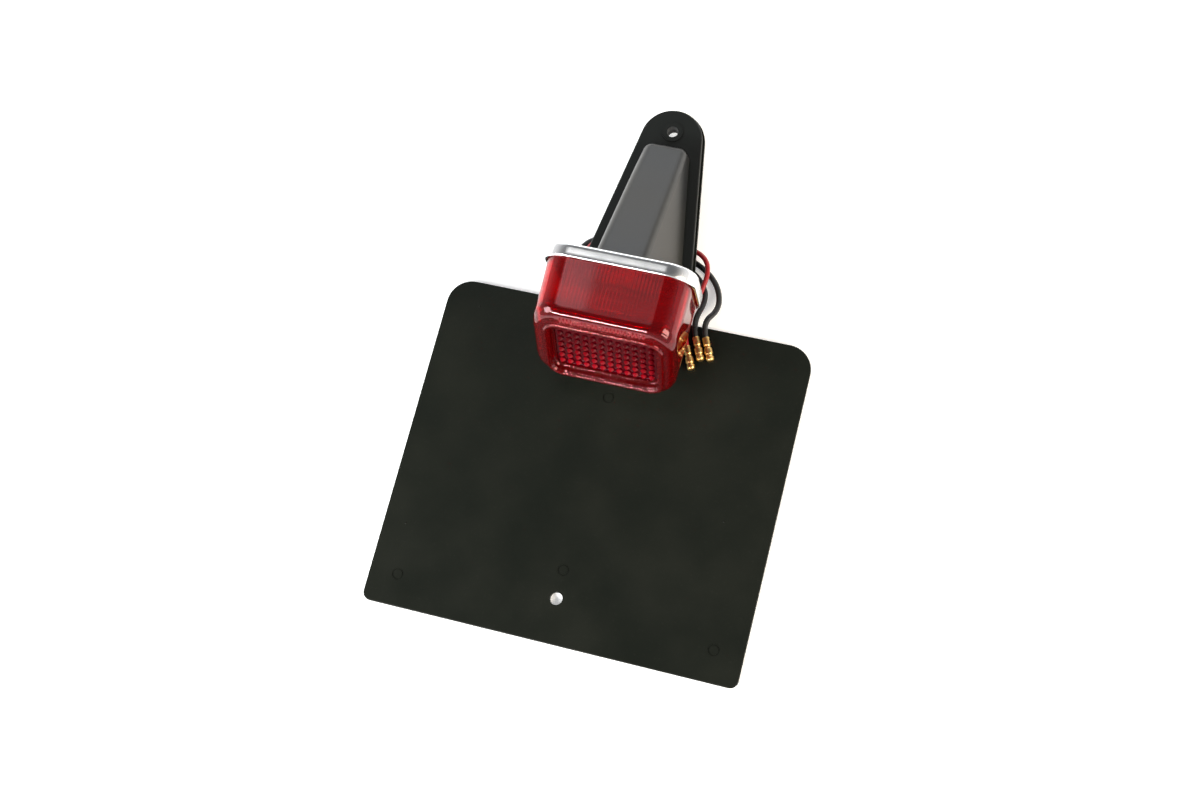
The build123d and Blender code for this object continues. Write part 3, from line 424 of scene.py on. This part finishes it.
# the profile is (along, radius) from the rear of the bullet to its tip
bulletShape = {"profile": [(0.0, 1.70), (0.3, 1.78), (3.9, 1.78), (4.4, 1.45), (5.1, 1.45), (5.5, 1.85),
                           (5.9, 1.98), (8.2, 1.98), (8.6, 1.72), (9.3, 1.72), (9.8, 1.98), (10.8, 1.98),
                           (11.5, 1.65), (11.9, 1.05), (12.0, 0.0)],
               "sides": 40, "crimps": (1.3, 2.9), "crimpDepth": 0.32, "crimpReach": 0.42}


def makeLead(name, lead):
    data = bpy.data.curves.new(name, "CURVE")
    data.dimensions = "3D"
    data.resolution_u = 10
    data.bevel_depth = lead["diameter"] / 2 * mm
    data.bevel_resolution = 6
    data.use_fill_caps = True
    spline = data.splines.new("NURBS")
    spline.points.add(len(lead["route"]) - 1)
    for point, place in zip(spline.points, lead["route"]):
        point.co = (*[c * mm for c in place], 1.0)
    spline.order_u = 3
    spline.use_endpoint_u = True
    wire = bpy.data.objects.new(name + "Lead", data)
    scene.collection.objects.link(wire)
    data.materials.append(materials[lead["material"]])
    return wire


def makeBullet(name, lead):
    # turned and crimped brass bullet, its rear at the end of the lead
    end, before = Vector(lead["route"][-1]), Vector(lead["route"][-2])
    heading = (end - before) * Vector((1, 1, 0))
    turn = Matrix.Translation(end * mm) @ heading.to_track_quat("X", "Z").to_matrix().to_4x4()
    sides = bulletShape["sides"]
    rows = []
    fine = []
    for (x0, r0), (x1, r1) in zip(bulletShape["profile"], bulletShape["profile"][1:]):
        steps = 8 if x1 - x0 > 2 else 2
        fine += [(x0 + (x1 - x0) * i / steps, r0 + (r1 - r0) * i / steps) for i in range(steps)]
    fine.append(bulletShape["profile"][-1])
    bm = bmesh.new()
    for x, radius in fine[:-1]:
        row = []
        for i in range(sides):
            angle = 2 * math.pi * i / sides
            dent = 0.0
            for crimp in bulletShape["crimps"]:
                near = math.exp(-((x - crimp) / bulletShape["crimpReach"]) ** 2)
                dent += bulletShape["crimpDepth"] * near * (0.55 + 0.45 * math.cos(3 * angle))
            r = radius - dent
            row.append(bm.verts.new(turn @ (Vector((x, r * math.cos(angle), r * math.sin(angle))) * mm)))
        rows.append(row)
    for low, high in zip(rows, rows[1:]):
        for i in range(sides):
            bm.faces.new((low[i], low[(i + 1) % sides], high[(i + 1) % sides], high[i]))
    tip = bm.verts.new(turn @ (Vector((fine[-1][0], 0, 0)) * mm))
    for i in range(sides):
        bm.faces.new((rows[-1][i], rows[-1][(i + 1) % sides], tip))
    bm.faces.new(list(reversed(rows[0])))
    return finishMesh(name + "Bullet", bm, materials["brass"])


def finishMesh(name, bm, material, sharpAngle=35.0):
    # weld, point the faces outward, shade, and link
    bmesh.ops.remove_doubles(bm, verts=bm.verts, dist=1e-7)
    bmesh.ops.recalc_face_normals(bm, faces=bm.faces)
    data = bpy.data.meshes.new(name)
    bm.to_mesh(data)
    bm.free()
    data.materials.append(material)
    data.shade_smooth()
    data.set_sharp_from_angle(angle=math.radians(sharpAngle))
    piece = bpy.data.objects.new(name, data)
    scene.collection.objects.link(piece)
    return piece


def place(piece, body, slot, *nodes):
    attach(piece, body)
    if nodes:
        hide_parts(*nodes)
    return piece


for leadName, lead in leads.items():
    wire = place(makeLead(leadName, lead), "lamp", lead["slot"], lead["node"])
    bullet = place(makeBullet(leadName, lead), "lamp", "brass", lead["bullet"])
print("leads laid")


def roundedRing(halfW, halfHigh, radius, cornerSteps=14, acrossSteps=104, upSteps=24):
    # (x, z) round a rounded rectangle, from the top right corner on round to the left
    ring = []
    sides = ((1, 1, 0, acrossSteps), (-1, 1, 90, upSteps), (-1, -1, 180, acrossSteps), (1, -1, 270, upSteps))
    for signX, signZ, start, steps in sides:
        for i in range(cornerSteps + 1):
            angle = math.radians(start + 90 * i / cornerSteps)
            ring.append((signX * (halfW - radius) + radius * math.cos(angle),
                         signZ * (halfHigh - radius) + radius * math.sin(angle)))
        # the straight run that follows this corner
        length = 2 * (halfW if steps == acrossSteps else halfHigh) - 2 * radius
        x0, z0 = ring[-1]
        along = math.radians(start + 180)
        for i in range(1, steps):
            gone = length * i / steps
            ring.append((x0 + math.cos(along) * gone, z0 + math.sin(along) * gone))
    return ring


def lensRing(y, inset):
    # the lens form at station y of the lamp, shrunk by inset
    t = (y - lens["back"]) / (lens["far"] - lens["back"])
    halfW = lens["halfW"] + (lens["frontHalfW"] - lens["halfW"]) * t - inset
    radius = lens["cornerR"] + (lens["frontCornerR"] - lens["cornerR"]) * t - inset
    return roundedRing(halfW, halfH - inset, max(radius, 0.5))


def frontRing(inset, lift):
    # where the form meets the sloping front, moved back by lift; y follows the slope
    ring = []
    for x, z in lensRing(lens["frontStation"], inset):
        ring.append(Vector((x, faceY(midZ + z) + lift, midZ + z)))
    return ring


def addRows(bm, rows):
    # rows of points joined into a tube of quads
    made = [[bm.verts.new((lampBase + p) * mm) for p in row] for row in rows]
    count = len(made[0])
    for low, high in zip(made, made[1:]):
        for i in range(count):
            j = (i + 1) % count
            bm.faces.new((low[i], low[j], high[j], high[i]))
    return made


window = {"halfW": 25.7, "lowZ": 9.0, "topZ": 40.8, "cornerR": 5.5, "depth": 2.6, "floor": 4.0,
          "bead": 1.1, "beadW": 2.4, "beadGap": 0.3, "beadSteps": 8,
          "lipIn": 0.5, "lipDrop": 0.6, "lipSteps": 4,
          "edge": 0.35,                        # bevel round the sunk floor
          "seatIn": 1.6, "seatOut": 1.0}       # the step that the reflex plate sits in


def windowRing(grow, radius, lift):
    # the window's outline in the sloping face, grown by grow, standing out of the face by -lift
    halfWide = window["halfW"] + grow
    halfHigh = (window["topZ"] - window["lowZ"]) / 2 / math.cos(faceTilt) + grow
    mid = (window["topZ"] + window["lowZ"]) / 2
    ring = []
    for x, v in roundedRing(halfWide, halfHigh, max(radius, 0.4)):
        ring.append(faceSpot(x, mid, v, lift))
    return ring


def faceSpot(x, z, v, depth):
    # a point of the sloping face at height z, v further up the slope and depth below the face
    base = Vector((x, faceY(z), z))
    return base + faceUp * v - faceOut * depth


def lensRows():
    # the outer skin from the rear edge over the rounded edge and the bead into the sunk window,
    # then back along the inner skin
    rows = []
    edge = lens["round"]
    for t in [i / lens["sideSteps"] for i in range(lens["sideSteps"] + 1)]:
        row = []
        for x, z in lensRing(0, 0):
            back, front = lens["back"], faceY(midZ + z) + edge
            y = back + (front - back) * t
            k = (y - lens["back"]) / (lens["far"] - lens["back"])
            narrow = (lens["halfW"] - lens["frontHalfW"]) * k * (x / lens["halfW"])
            row.append(Vector((x - narrow, y, midZ + z)))
        rows.append(row)
    for i in range(1, lens["roundSteps"] + 1):
        a = math.radians(90 * i / lens["roundSteps"])
        rows.append(frontRing(edge * (1 - math.cos(a)), edge * (1 - math.sin(a))))
    bead = window["beadW"]
    for i in range(window["beadSteps"] + 1):                   # the bead round the window
        a = math.pi * i / window["beadSteps"]
        grow = window["beadGap"] + bead / 2 + bead / 2 * math.cos(a)
        rows.append(windowRing(grow, window["cornerR"] + grow, -window["bead"] * math.sin(a)))
    for i in range(1, window["lipSteps"] + 1):                 # the rounded lip that leads into the window
        a = math.radians(90 * i / window["lipSteps"])
        rows.append(windowRing(window["beadGap"] - window["lipIn"] * math.sin(a), window["cornerR"] - 0.2,
                               window["lipDrop"] * (1 - math.cos(a))))
    rows.append(windowRing(-0.3, window["cornerR"] - 0.4, window["depth"]))
    rows.append(windowRing(-0.7, window["cornerR"] - 0.8, window["depth"] + window["edge"]))
    return rows


def innerRows():
    wall = lens["wall"]
    seatR = window["cornerR"] - 1.4
    rows = [windowRing(-window["seatIn"], seatR, window["depth"] + 0.4),
            windowRing(-window["seatIn"], seatR, window["floor"]),
            windowRing(window["seatOut"], window["cornerR"] + 0.6, window["floor"])]
    turn = lens["innerRound"]
    for i in range(1, lens["innerRoundSteps"] + 1):
        a = math.radians(90 * i / lens["innerRoundSteps"])
        rows.append(frontRing(wall + turn * (1 - math.sin(a)), lens["frontWall"] + turn * (1 - math.cos(a))))
    for t in [i / lens["innerSteps"] for i in range(1, lens["innerSteps"] + 1)]:
        row = []
        for x, z in lensRing(0, wall):
            front, back = faceY(midZ + z) + lens["frontWall"] + lens["innerRound"], lens["back"]
            row.append(Vector((x, front + (back - front) * t, midZ + z)))
        rows.append(row)
    return rows


def makeLens():
    bm = bmesh.new()
    outer = addRows(bm, lensRows())
    inner = addRows(bm, innerRows())
    for low, high in ((outer[-1], inner[0]), (inner[-1], outer[0])):
        for i in range(len(low)):
            j = (i + 1) % len(low)
            bm.faces.new((low[i], low[j], high[j], high[i]))
    return finishMesh("redLens", bm, materials["redPlastic"], 50)


# the inside of the lens top and bottom is fluted: fine ridges that run from front to back
flutes = {"count": 26, "depth": 0.8, "reach": 0.00005}
flutes["halfW"] = lens["halfW"] - lens["cornerR"]      # the flat run of the inner skin
flutes["pitch"] = 2 * flutes["halfW"] / flutes["count"]


def fluteTree():
    tree = bpy.data.node_groups.new("lensFlutes", "GeometryNodeTree")
    tree.interface.new_socket(name="Geometry", in_out="INPUT", socket_type="NodeSocketGeometry")
    for label, kind, value in (("Pitch", "NodeSocketFloat", 0.002), ("Depth", "NodeSocketFloat", 0.0004),
                               ("Half Width", "NodeSocketFloat", 0.025), ("Top", "NodeSocketFloat", 0.05),
                               ("Bottom", "NodeSocketFloat", 0.01)):
        socket = tree.interface.new_socket(name=label, in_out="INPUT", socket_type=kind)
        socket.default_value = value
    tree.interface.new_socket(name="Surface", in_out="INPUT", socket_type="NodeSocketMaterial")
    tree.interface.new_socket(name="Geometry", in_out="OUTPUT", socket_type="NodeSocketGeometry")
    start, end = addNode(tree, "NodeGroupInput", -1200), addNode(tree, "NodeGroupOutput", 900)
    link = tree.links.new
    place = addNode(tree, "GeometryNodeInputPosition", -1200, -300)
    parts = addNode(tree, "ShaderNodeSeparateXYZ", -1000, -300)
    link(place.outputs[0], parts.inputs[0])
    wave = addNode(tree, "ShaderNodeMath", -700, -200, operation="PINGPONG")   # 0 to half a pitch
    halfPitch = addNode(tree, "ShaderNodeMath", -900, -100, operation="MULTIPLY")
    link(start.outputs["Pitch"], halfPitch.inputs[0])
    halfPitch.inputs[1].default_value = 0.5
    link(parts.outputs["X"], wave.inputs[0])
    link(halfPitch.outputs[0], wave.inputs[1])
    share = addNode(tree, "ShaderNodeMath", -500, -200, operation="DIVIDE")
    link(wave.outputs[0], share.inputs[0])
    link(halfPitch.outputs[0], share.inputs[1])
    across = addNode(tree, "ShaderNodeMath", -900, -450, operation="ABSOLUTE")
    link(parts.outputs["X"], across.inputs[0])
    inside = addNode(tree, "FunctionNodeCompare", -700, -450, operation="LESS_THAN")
    link(across.outputs[0], inside.inputs[0])
    link(start.outputs["Half Width"], inside.inputs[1])
    level = {}
    for label, sign, y in (("Top", 1.0, -600), ("Bottom", -1.0, -800)):
        gap = addNode(tree, "ShaderNodeMath", -900, y, operation="SUBTRACT")
        link(parts.outputs["Z"], gap.inputs[0])
        link(start.outputs[label], gap.inputs[1])
        size = addNode(tree, "ShaderNodeMath", -700, y, operation="ABSOLUTE")
        link(gap.outputs[0], size.inputs[0])
        near = addNode(tree, "FunctionNodeCompare", -500, y, operation="LESS_THAN")
        link(size.outputs[0], near.inputs[0])
        near.inputs[1].default_value = flutes["reach"]
        push = addNode(tree, "ShaderNodeMath", -300, y, operation="MULTIPLY")
        link(near.outputs[0], push.inputs[0])
        push.inputs[1].default_value = -sign
        level[label] = push
    signs = addNode(tree, "ShaderNodeMath", -100, -700, operation="ADD")
    link(level["Top"].outputs[0], signs.inputs[0])
    link(level["Bottom"].outputs[0], signs.inputs[1])
    deep = addNode(tree, "ShaderNodeMath", -300, -200, operation="MULTIPLY")
    link(share.outputs[0], deep.inputs[0])
    link(start.outputs["Depth"], deep.inputs[1])
    height = addNode(tree, "ShaderNodeMath", 100, -400, operation="MULTIPLY")
    link(deep.outputs[0], height.inputs[0])
    link(signs.outputs[0], height.inputs[1])
    offset = addNode(tree, "ShaderNodeCombineXYZ", 300, -400)
    link(height.outputs[0], offset.inputs["Z"])
    move = addNode(tree, "GeometryNodeSetPosition", 450, 0)
    link(start.outputs["Geometry"], move.inputs["Geometry"])
    link(inside.outputs[0], move.inputs["Selection"])
    link(offset.outputs[0], move.inputs["Offset"])
    real = addNode(tree, "GeometryNodeRealizeInstances", 600, 0)
    link(move.outputs[0], real.inputs[0])
    paint = addNode(tree, "GeometryNodeSetMaterial", 750, 0)
    link(real.outputs[0], paint.inputs["Geometry"])
    link(start.outputs["Surface"], paint.inputs["Material"])
    link(paint.outputs[0], end.inputs["Geometry"])
    return tree


def bake(carrier, tree, name, values):
    # run the tree on the carrier, keep the result as a plain mesh, and drop the carrier
    modifier = carrier.modifiers.new("grow", "NODES")
    modifier.node_group = tree
    for socket in tree.interface.items_tree:
        if socket.item_type == "SOCKET" and socket.in_out == "INPUT" and socket.name in values:
            modifier[socket.identifier] = values[socket.name]
    bpy.context.view_layer.update()
    grown = carrier.evaluated_get(bpy.context.evaluated_depsgraph_get())
    data = bpy.data.meshes.new_from_object(grown)
    data.name = name
    bpy.data.objects.remove(carrier)
    piece = bpy.data.objects.new(name, data)
    scene.collection.objects.link(piece)
    return piece


plainLens = makeLens()
plainLens.name = "plainLens"
redLens = bake(plainLens, fluteTree(), "redLens", {
    "Pitch": flutes["pitch"] * mm, "Depth": flutes["depth"] * mm, "Half Width": (flutes["halfW"] + 0.1) * mm,
    "Top": (lampBase.z + lens["topZ"] - lens["wall"]) * mm,
    "Bottom": (lampBase.z + lens["lowZ"] + lens["wall"]) * mm,
    "Surface": materials["redPlastic"]})
place(redLens, "lamp", "red_lens", "red_lens")
print("lens made,", len(redLens.data.polygons), "faces")


reflex = {"pitchX": 3.9, "pitchV": 4.1, "columns": 12, "rows": 7, "dotR": 1.45, "dotHigh": 1.1,
          "plateTop": 3.7, "plateLow": 5.4, "inset": 1.7, "cornerR": 3.6, "bevel": 0.25}


def dotTree():
    # a grid of faceted pips on the reflex plate
    tree = bpy.data.node_groups.new("reflexPips", "GeometryNodeTree")
    for label, kind, value in (("Pitch Across", "NodeSocketFloat", 0.004),
                               ("Pitch Up", "NodeSocketFloat", 0.004),
                               ("Columns", "NodeSocketInt", 12), ("Rows", "NodeSocketInt", 7),
                               ("Radius", "NodeSocketFloat", 0.0015), ("Height", "NodeSocketFloat", 0.001),
                               ("Place", "NodeSocketVector", (0, 0, 0)), ("Turn", "NodeSocketFloat", 0.0)):
        socket = tree.interface.new_socket(name=label, in_out="INPUT", socket_type=kind)
        socket.default_value = value
    tree.interface.new_socket(name="Surface", in_out="INPUT", socket_type="NodeSocketMaterial")
    tree.interface.new_socket(name="Geometry", in_out="OUTPUT", socket_type="NodeSocketGeometry")
    start, end = addNode(tree, "NodeGroupInput", -1200), addNode(tree, "NodeGroupOutput", 900)
    link = tree.links.new
    spans = {}
    for label, pitch, y in (("Columns", "Pitch Across", 200), ("Rows", "Pitch Up", 0)):
        gaps = addNode(tree, "ShaderNodeMath", -1000, y, operation="SUBTRACT")
        link(start.outputs[label], gaps.inputs[0])
        gaps.inputs[1].default_value = 1.0
        spans[label] = addNode(tree, "ShaderNodeMath", -850, y, operation="MULTIPLY")
        link(gaps.outputs[0], spans[label].inputs[0])
        link(start.outputs[pitch], spans[label].inputs[1])
    grid = addNode(tree, "GeometryNodeMeshGrid", -650, 100)
    link(spans["Columns"].outputs[0], grid.inputs["Size X"])
    link(spans["Rows"].outputs[0], grid.inputs["Size Y"])
    link(start.outputs["Columns"], grid.inputs["Vertices X"])
    link(start.outputs["Rows"], grid.inputs["Vertices Y"])
    pip = addNode(tree, "GeometryNodeMeshCone", -650, -300)
    pip.inputs["Vertices"].default_value = 6
    link(start.outputs["Radius"], pip.inputs["Radius Bottom"])
    link(start.outputs["Height"], pip.inputs["Depth"])
    top = addNode(tree, "ShaderNodeMath", -850, -400, operation="MULTIPLY")
    link(start.outputs["Radius"], top.inputs[0])
    top.inputs[1].default_value = 0.35
    link(top.outputs[0], pip.inputs["Radius Top"])
    spread = addNode(tree, "GeometryNodeInstanceOnPoints", -300, 100)
    link(grid.outputs["Mesh"], spread.inputs["Points"])
    link(pip.outputs["Mesh"], spread.inputs["Instance"])
    real = addNode(tree, "GeometryNodeRealizeInstances", -100, 100)
    link(spread.outputs[0], real.inputs[0])
    stand = addNode(tree, "GeometryNodeTransform", 200, 100)
    turn = addNode(tree, "ShaderNodeCombineXYZ", 0, -200)
    link(start.outputs["Turn"], turn.inputs["X"])
    link(real.outputs[0], stand.inputs["Geometry"])
    link(start.outputs["Place"], stand.inputs["Translation"])
    link(turn.outputs[0], stand.inputs["Rotation"])
    paint = addNode(tree, "GeometryNodeSetMaterial", 500, 100)
    link(stand.outputs[0], paint.inputs["Geometry"])
    link(start.outputs["Surface"], paint.inputs["Material"])
    link(paint.outputs[0], end.inputs["Geometry"])
    return tree


def makeReflexPlate():
    bm = bmesh.new()
    inset, radius = reflex["inset"], reflex["cornerR"]
    bevel = reflex["bevel"]
    rows = [windowRing(-inset, radius, reflex["plateLow"]),
            windowRing(-inset, radius, reflex["plateTop"] + bevel),
            windowRing(-inset - bevel, radius - 0.2, reflex["plateTop"])]
    made = addRows(bm, rows)
    bm.faces.new(made[0])
    bm.faces.new(made[-1])
    return finishMesh("reflexPlate", bm, materials["reflexRed"])


windowMid = (window["lowZ"] + window["topZ"]) / 2
pipSpot = lampBase + faceSpot(0, windowMid, 0, reflex["plateTop"] - reflex["dotHigh"] / 2 + 0.02)
carrier = bpy.data.objects.new("pipCarrier", bpy.data.meshes.new("pipCarrier"))
scene.collection.objects.link(carrier)
reflexPips = bake(carrier, dotTree(), "reflexPips", {
    "Pitch Across": reflex["pitchX"] * mm, "Pitch Up": reflex["pitchV"] * mm, "Columns": reflex["columns"],
    "Rows": reflex["rows"], "Radius": reflex["dotR"] * mm, "Height": reflex["dotHigh"] * mm,
    "Place": tuple(pipSpot * mm), "Turn": math.radians(90) - faceTilt, "Surface": materials["reflexPip"]})
place(makeReflexPlate(), "lamp", "reflex_red", "reflex_reflector")
place(reflexPips, "lamp", "reflex_red")
print("reflex plate made")


rim = {"profile": [
    # (outward from the lens form, forward of the rear plane)
    (0.15, 0.35), (0.15, 6.0), (0.35, 6.4), (0.8, 6.5), (1.2, 6.4), (1.5, 6.05), (1.62, 5.5), (1.65, 4.2),
    (1.65, 2.3), (1.58, 1.2), (1.35, 0.5), (1.0, 0.12), (0.6, 0.0), (0.3, 0.08)]}


def makeRim():
    bm = bmesh.new()
    rows = []
    for out, forward in rim["profile"]:
        ring = roundedRing(lens["halfW"] + out, halfH + out, lens["cornerR"] + out)
        rows.append([Vector((x, -forward, midZ + z)) for x, z in ring])
    made = addRows(bm, rows)
    for i in range(len(made[0])):
        j = (i + 1) % len(made[0])
        bm.faces.new((made[-1][i], made[-1][j], made[0][j], made[0][i]))
    return finishMesh("chromeRim", bm, materials["chrome"], 60)


place(makeRim(), "lamp", "chrome", "chrome_rim")
print("rim made")


spring = {"wireR": 0.45, "turns": 5, "turnSteps": 28, "sides": 10, "push": 2.5}


def makeSpring():
    low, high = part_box("contact_spring")
    low, high = low / mm, high / mm
    middleX, middleZ = (low.x + high.x) / 2, (low.z + high.z) / 2
    radius = (high.z - low.z) / 2 - spring["wireR"]
    first, last = low.y + spring["wireR"], high.y - spring["wireR"]
    rise = math.atan2((last - first) / spring["turns"], 2 * math.pi * radius)
    bm = bmesh.new()
    rows = []
    total = spring["turns"] * spring["turnSteps"]
    for i in range(total + 1):
        a = 2 * math.pi * i / spring["turnSteps"]
        out = Vector((math.cos(a), 0, math.sin(a)))
        side = Vector((math.sin(a) * math.sin(rise), math.cos(rise), -math.cos(a) * math.sin(rise)))
        middle = Vector((middleX, first + (last - first) * i / total, middleZ)) + out * radius
        rows.append([bm.verts.new((middle + (out * math.cos(b) + side * math.sin(b)) * spring["wireR"]) * mm)
                     for b in [2 * math.pi * j / spring["sides"] for j in range(spring["sides"])]])
    for near, far in zip(rows, rows[1:]):
        for j in range(spring["sides"]):
            k = (j + 1) % spring["sides"]
            bm.faces.new((near[j], near[k], far[k], far[j]))
    bm.faces.new(rows[0])
    bm.faces.new(rows[-1])
    return finishMesh("contactSpring", bm, materials["zincSteel"], 60)


contactSpring = place(makeSpring(), "lamp", "plated_steel", "contact_spring")
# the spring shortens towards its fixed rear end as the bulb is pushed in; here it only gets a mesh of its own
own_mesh(contactSpring)


plate = {"height": 162.0, "thickness": 2.5}
pips = {"radius": 0.55, "height": 0.22, "sides": 10, "rings": 4, "sunk": 0.02,
        # across the plate and up from its middle, in mm
        "spots": [(-73, 69), (-79, -42), (67, -8)]}


def makePips():
    bm = bmesh.new()
    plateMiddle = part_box("number_plate_bracket")[0].y / mm + plate["height"] / 2
    for x, up in pips["spots"]:
        rows = []
        for ring in range(pips["rings"]):
            a = math.radians(90 * ring / pips["rings"])
            r = pips["radius"] * math.cos(a)
            z = plate["thickness"] - pips["sunk"] + pips["height"] * math.sin(a)
            rows.append([])
            for i in range(pips["sides"]):
                b = 2 * math.pi * i / pips["sides"]
                spot = Vector((x + r * math.cos(b), plateMiddle + up + r * math.sin(b), z))
                rows[-1].append(bm.verts.new(spot * mm))
        top = bm.verts.new(Vector((x, plateMiddle + up, plate["thickness"] + pips["height"])) * mm)
        count = pips["sides"]
        for low, high in zip(rows, rows[1:]):
            for i in range(count):
                bm.faces.new((low[i], low[(i + 1) % count], high[(i + 1) % count], high[i]))
        for i in range(count):
            bm.faces.new((rows[-1][i], rows[-1][(i + 1) % count], top))
        bm.faces.new(list(reversed(rows[0])))
    return finishMesh("platePips", bm, materials["bracketPlastic"], 60)


place(makePips(), "lamp", "bracket_plastic")
print("spring and pips made")


# pieces shown as the CAD has them, each with its finish
kept = {
    "number_plate_bracket": "bracketPlastic", "base_gasket": "rubber", "lamp_housing": "housingPlastic",
    "base_inserts": "brass", "bracket_screws": "zincSteel", "lens_seal": "rubber",
    "plate_light_window": "clearPlastic", "lens_screws": "zincSteel", "reflector_plate": "brightSheet",
    "reflector_screws": "zincSteel", "bulb_socket": "zincSteel", "contact_carrier": "brownInsulator",
    "contact_tips": "brass", "bulb_cap": "brass", "bulb_pins": "brass",
    "bulb_glass": "bulbGlass", "bulb_filament_mount": "zincSteel", "bulb_contacts": "zincSteel",
    "wire_boot": "rubber"}
for node, material in kept.items():
    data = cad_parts[node].data
    data.materials.clear()
    data.materials.append(materials[material])


studio = {"floorSize": 3.0, "floorDrop": 0.0004, "floorGlow": 0.4, "floorColor": (0.93, 0.93, 0.93, 1),
          "horizon": (1.0, 1.0, 1.0, 1),
          "zenith": (0.16, 0.165, 0.17, 1), "worldStrength": 0.85,
          "lights": [
              # name, place, aim, width, height, power, color
              ("windowBack", (-0.25, 1.5, 0.55), (0, 0.05, 0.04), 2.4, 0.5, 10.0, (0.94, 0.97, 1.0)),
              ("windowTop", (-0.50, 0.47, 1.55), (-0.50, 0.47, 0.04), 0.29, 0.20, 0.33, (1.0, 1.0, 1.0)),
              ("windowTopWide", (-0.45, 0.49, 1.56), (-0.45, 0.49, 0.04), 0.70, 0.34, 0.62, (1.0, 1.0, 0.97)),
              ("stripFront", (-0.55, -1.15, 0.86), (0, 0, 0.05), 0.75, 0.08, 28.0, (1.0, 1.0, 1.0)),
              ("sideRight", (1.3, -0.3, 0.8), (0, 0, 0.03), 0.9, 0.7, 28.0, (1.0, 0.88, 0.70)),
              ("sideLeft", (-1.2, -0.7, 0.9), (0, 0, 0.03), 0.7, 0.7, 24.0, (0.95, 1.0, 0.98))]}


def makeStudio():
    floorData = bpy.data.meshes.new("floor")
    half = studio["floorSize"]
    low = -studio["floorDrop"]
    corners = [(-half, -half, low), (half, -half, low), (half, half, low), (-half, half, low)]
    floorData.from_pydata(corners, [], [(0, 1, 2, 3)])
    floor = bpy.data.objects.new("floor", floorData)
    scene.collection.objects.link(floor)
    paper = bpy.data.materials.new("paper")
    paper.use_nodes = True
    finish = paper.node_tree.nodes["Principled BSDF"].inputs
    finish["Base Color"].default_value = studio["floorColor"]
    finish["Roughness"].default_value = 0.9
    # a little light of its own softens the shadows
    finish["Emission Color"].default_value = studio["floorColor"]
    finish["Emission Strength"].default_value = studio["floorGlow"]
    floorData.materials.append(paper)
    for name, spot, aim, width, height, power, color in studio["lights"]:
        data = bpy.data.lights.new(name, "AREA")
        data.shape, data.size, data.size_y, data.energy = "RECTANGLE", width, height, power
        data.color = color
        lamp = bpy.data.objects.new(name, data)
        lamp.location = spot
        lamp.rotation_euler = (Vector(aim) - Vector(spot)).to_track_quat("-Z", "Y").to_euler()
        scene.collection.objects.link(lamp)
    world = bpy.data.worlds.new("studio")
    world.use_nodes = True
    background = world.node_tree.nodes["Background"]
    background.inputs["Strength"].default_value = studio["worldStrength"]
    # bright towards the horizon, dim overhead
    tree = world.node_tree
    heading = addNode(tree, "ShaderNodeTexCoord", -900, 0)
    parts = addNode(tree, "ShaderNodeSeparateXYZ", -700, 0)
    tree.links.new(heading.outputs["Generated"], parts.inputs[0])
    climb = addNode(tree, "ShaderNodeMapRange", -500, 0, interpolation_type="SMOOTHSTEP")
    climb.inputs["From Min"].default_value = 0.15
    climb.inputs["From Max"].default_value = 0.85
    tree.links.new(parts.outputs["Z"], climb.inputs["Value"])
    blend = addNode(tree, "ShaderNodeMix", -250, 0, data_type="RGBA")
    blend.inputs[6].default_value = studio["horizon"]
    blend.inputs[7].default_value = studio["zenith"]
    tree.links.new(climb.outputs["Result"], blend.inputs[0])
    tree.links.new(blend.outputs[2], background.inputs["Color"])
    scene.world = world
    scene.view_settings.view_transform = "Standard"


makeStudio()
print("studio lit")
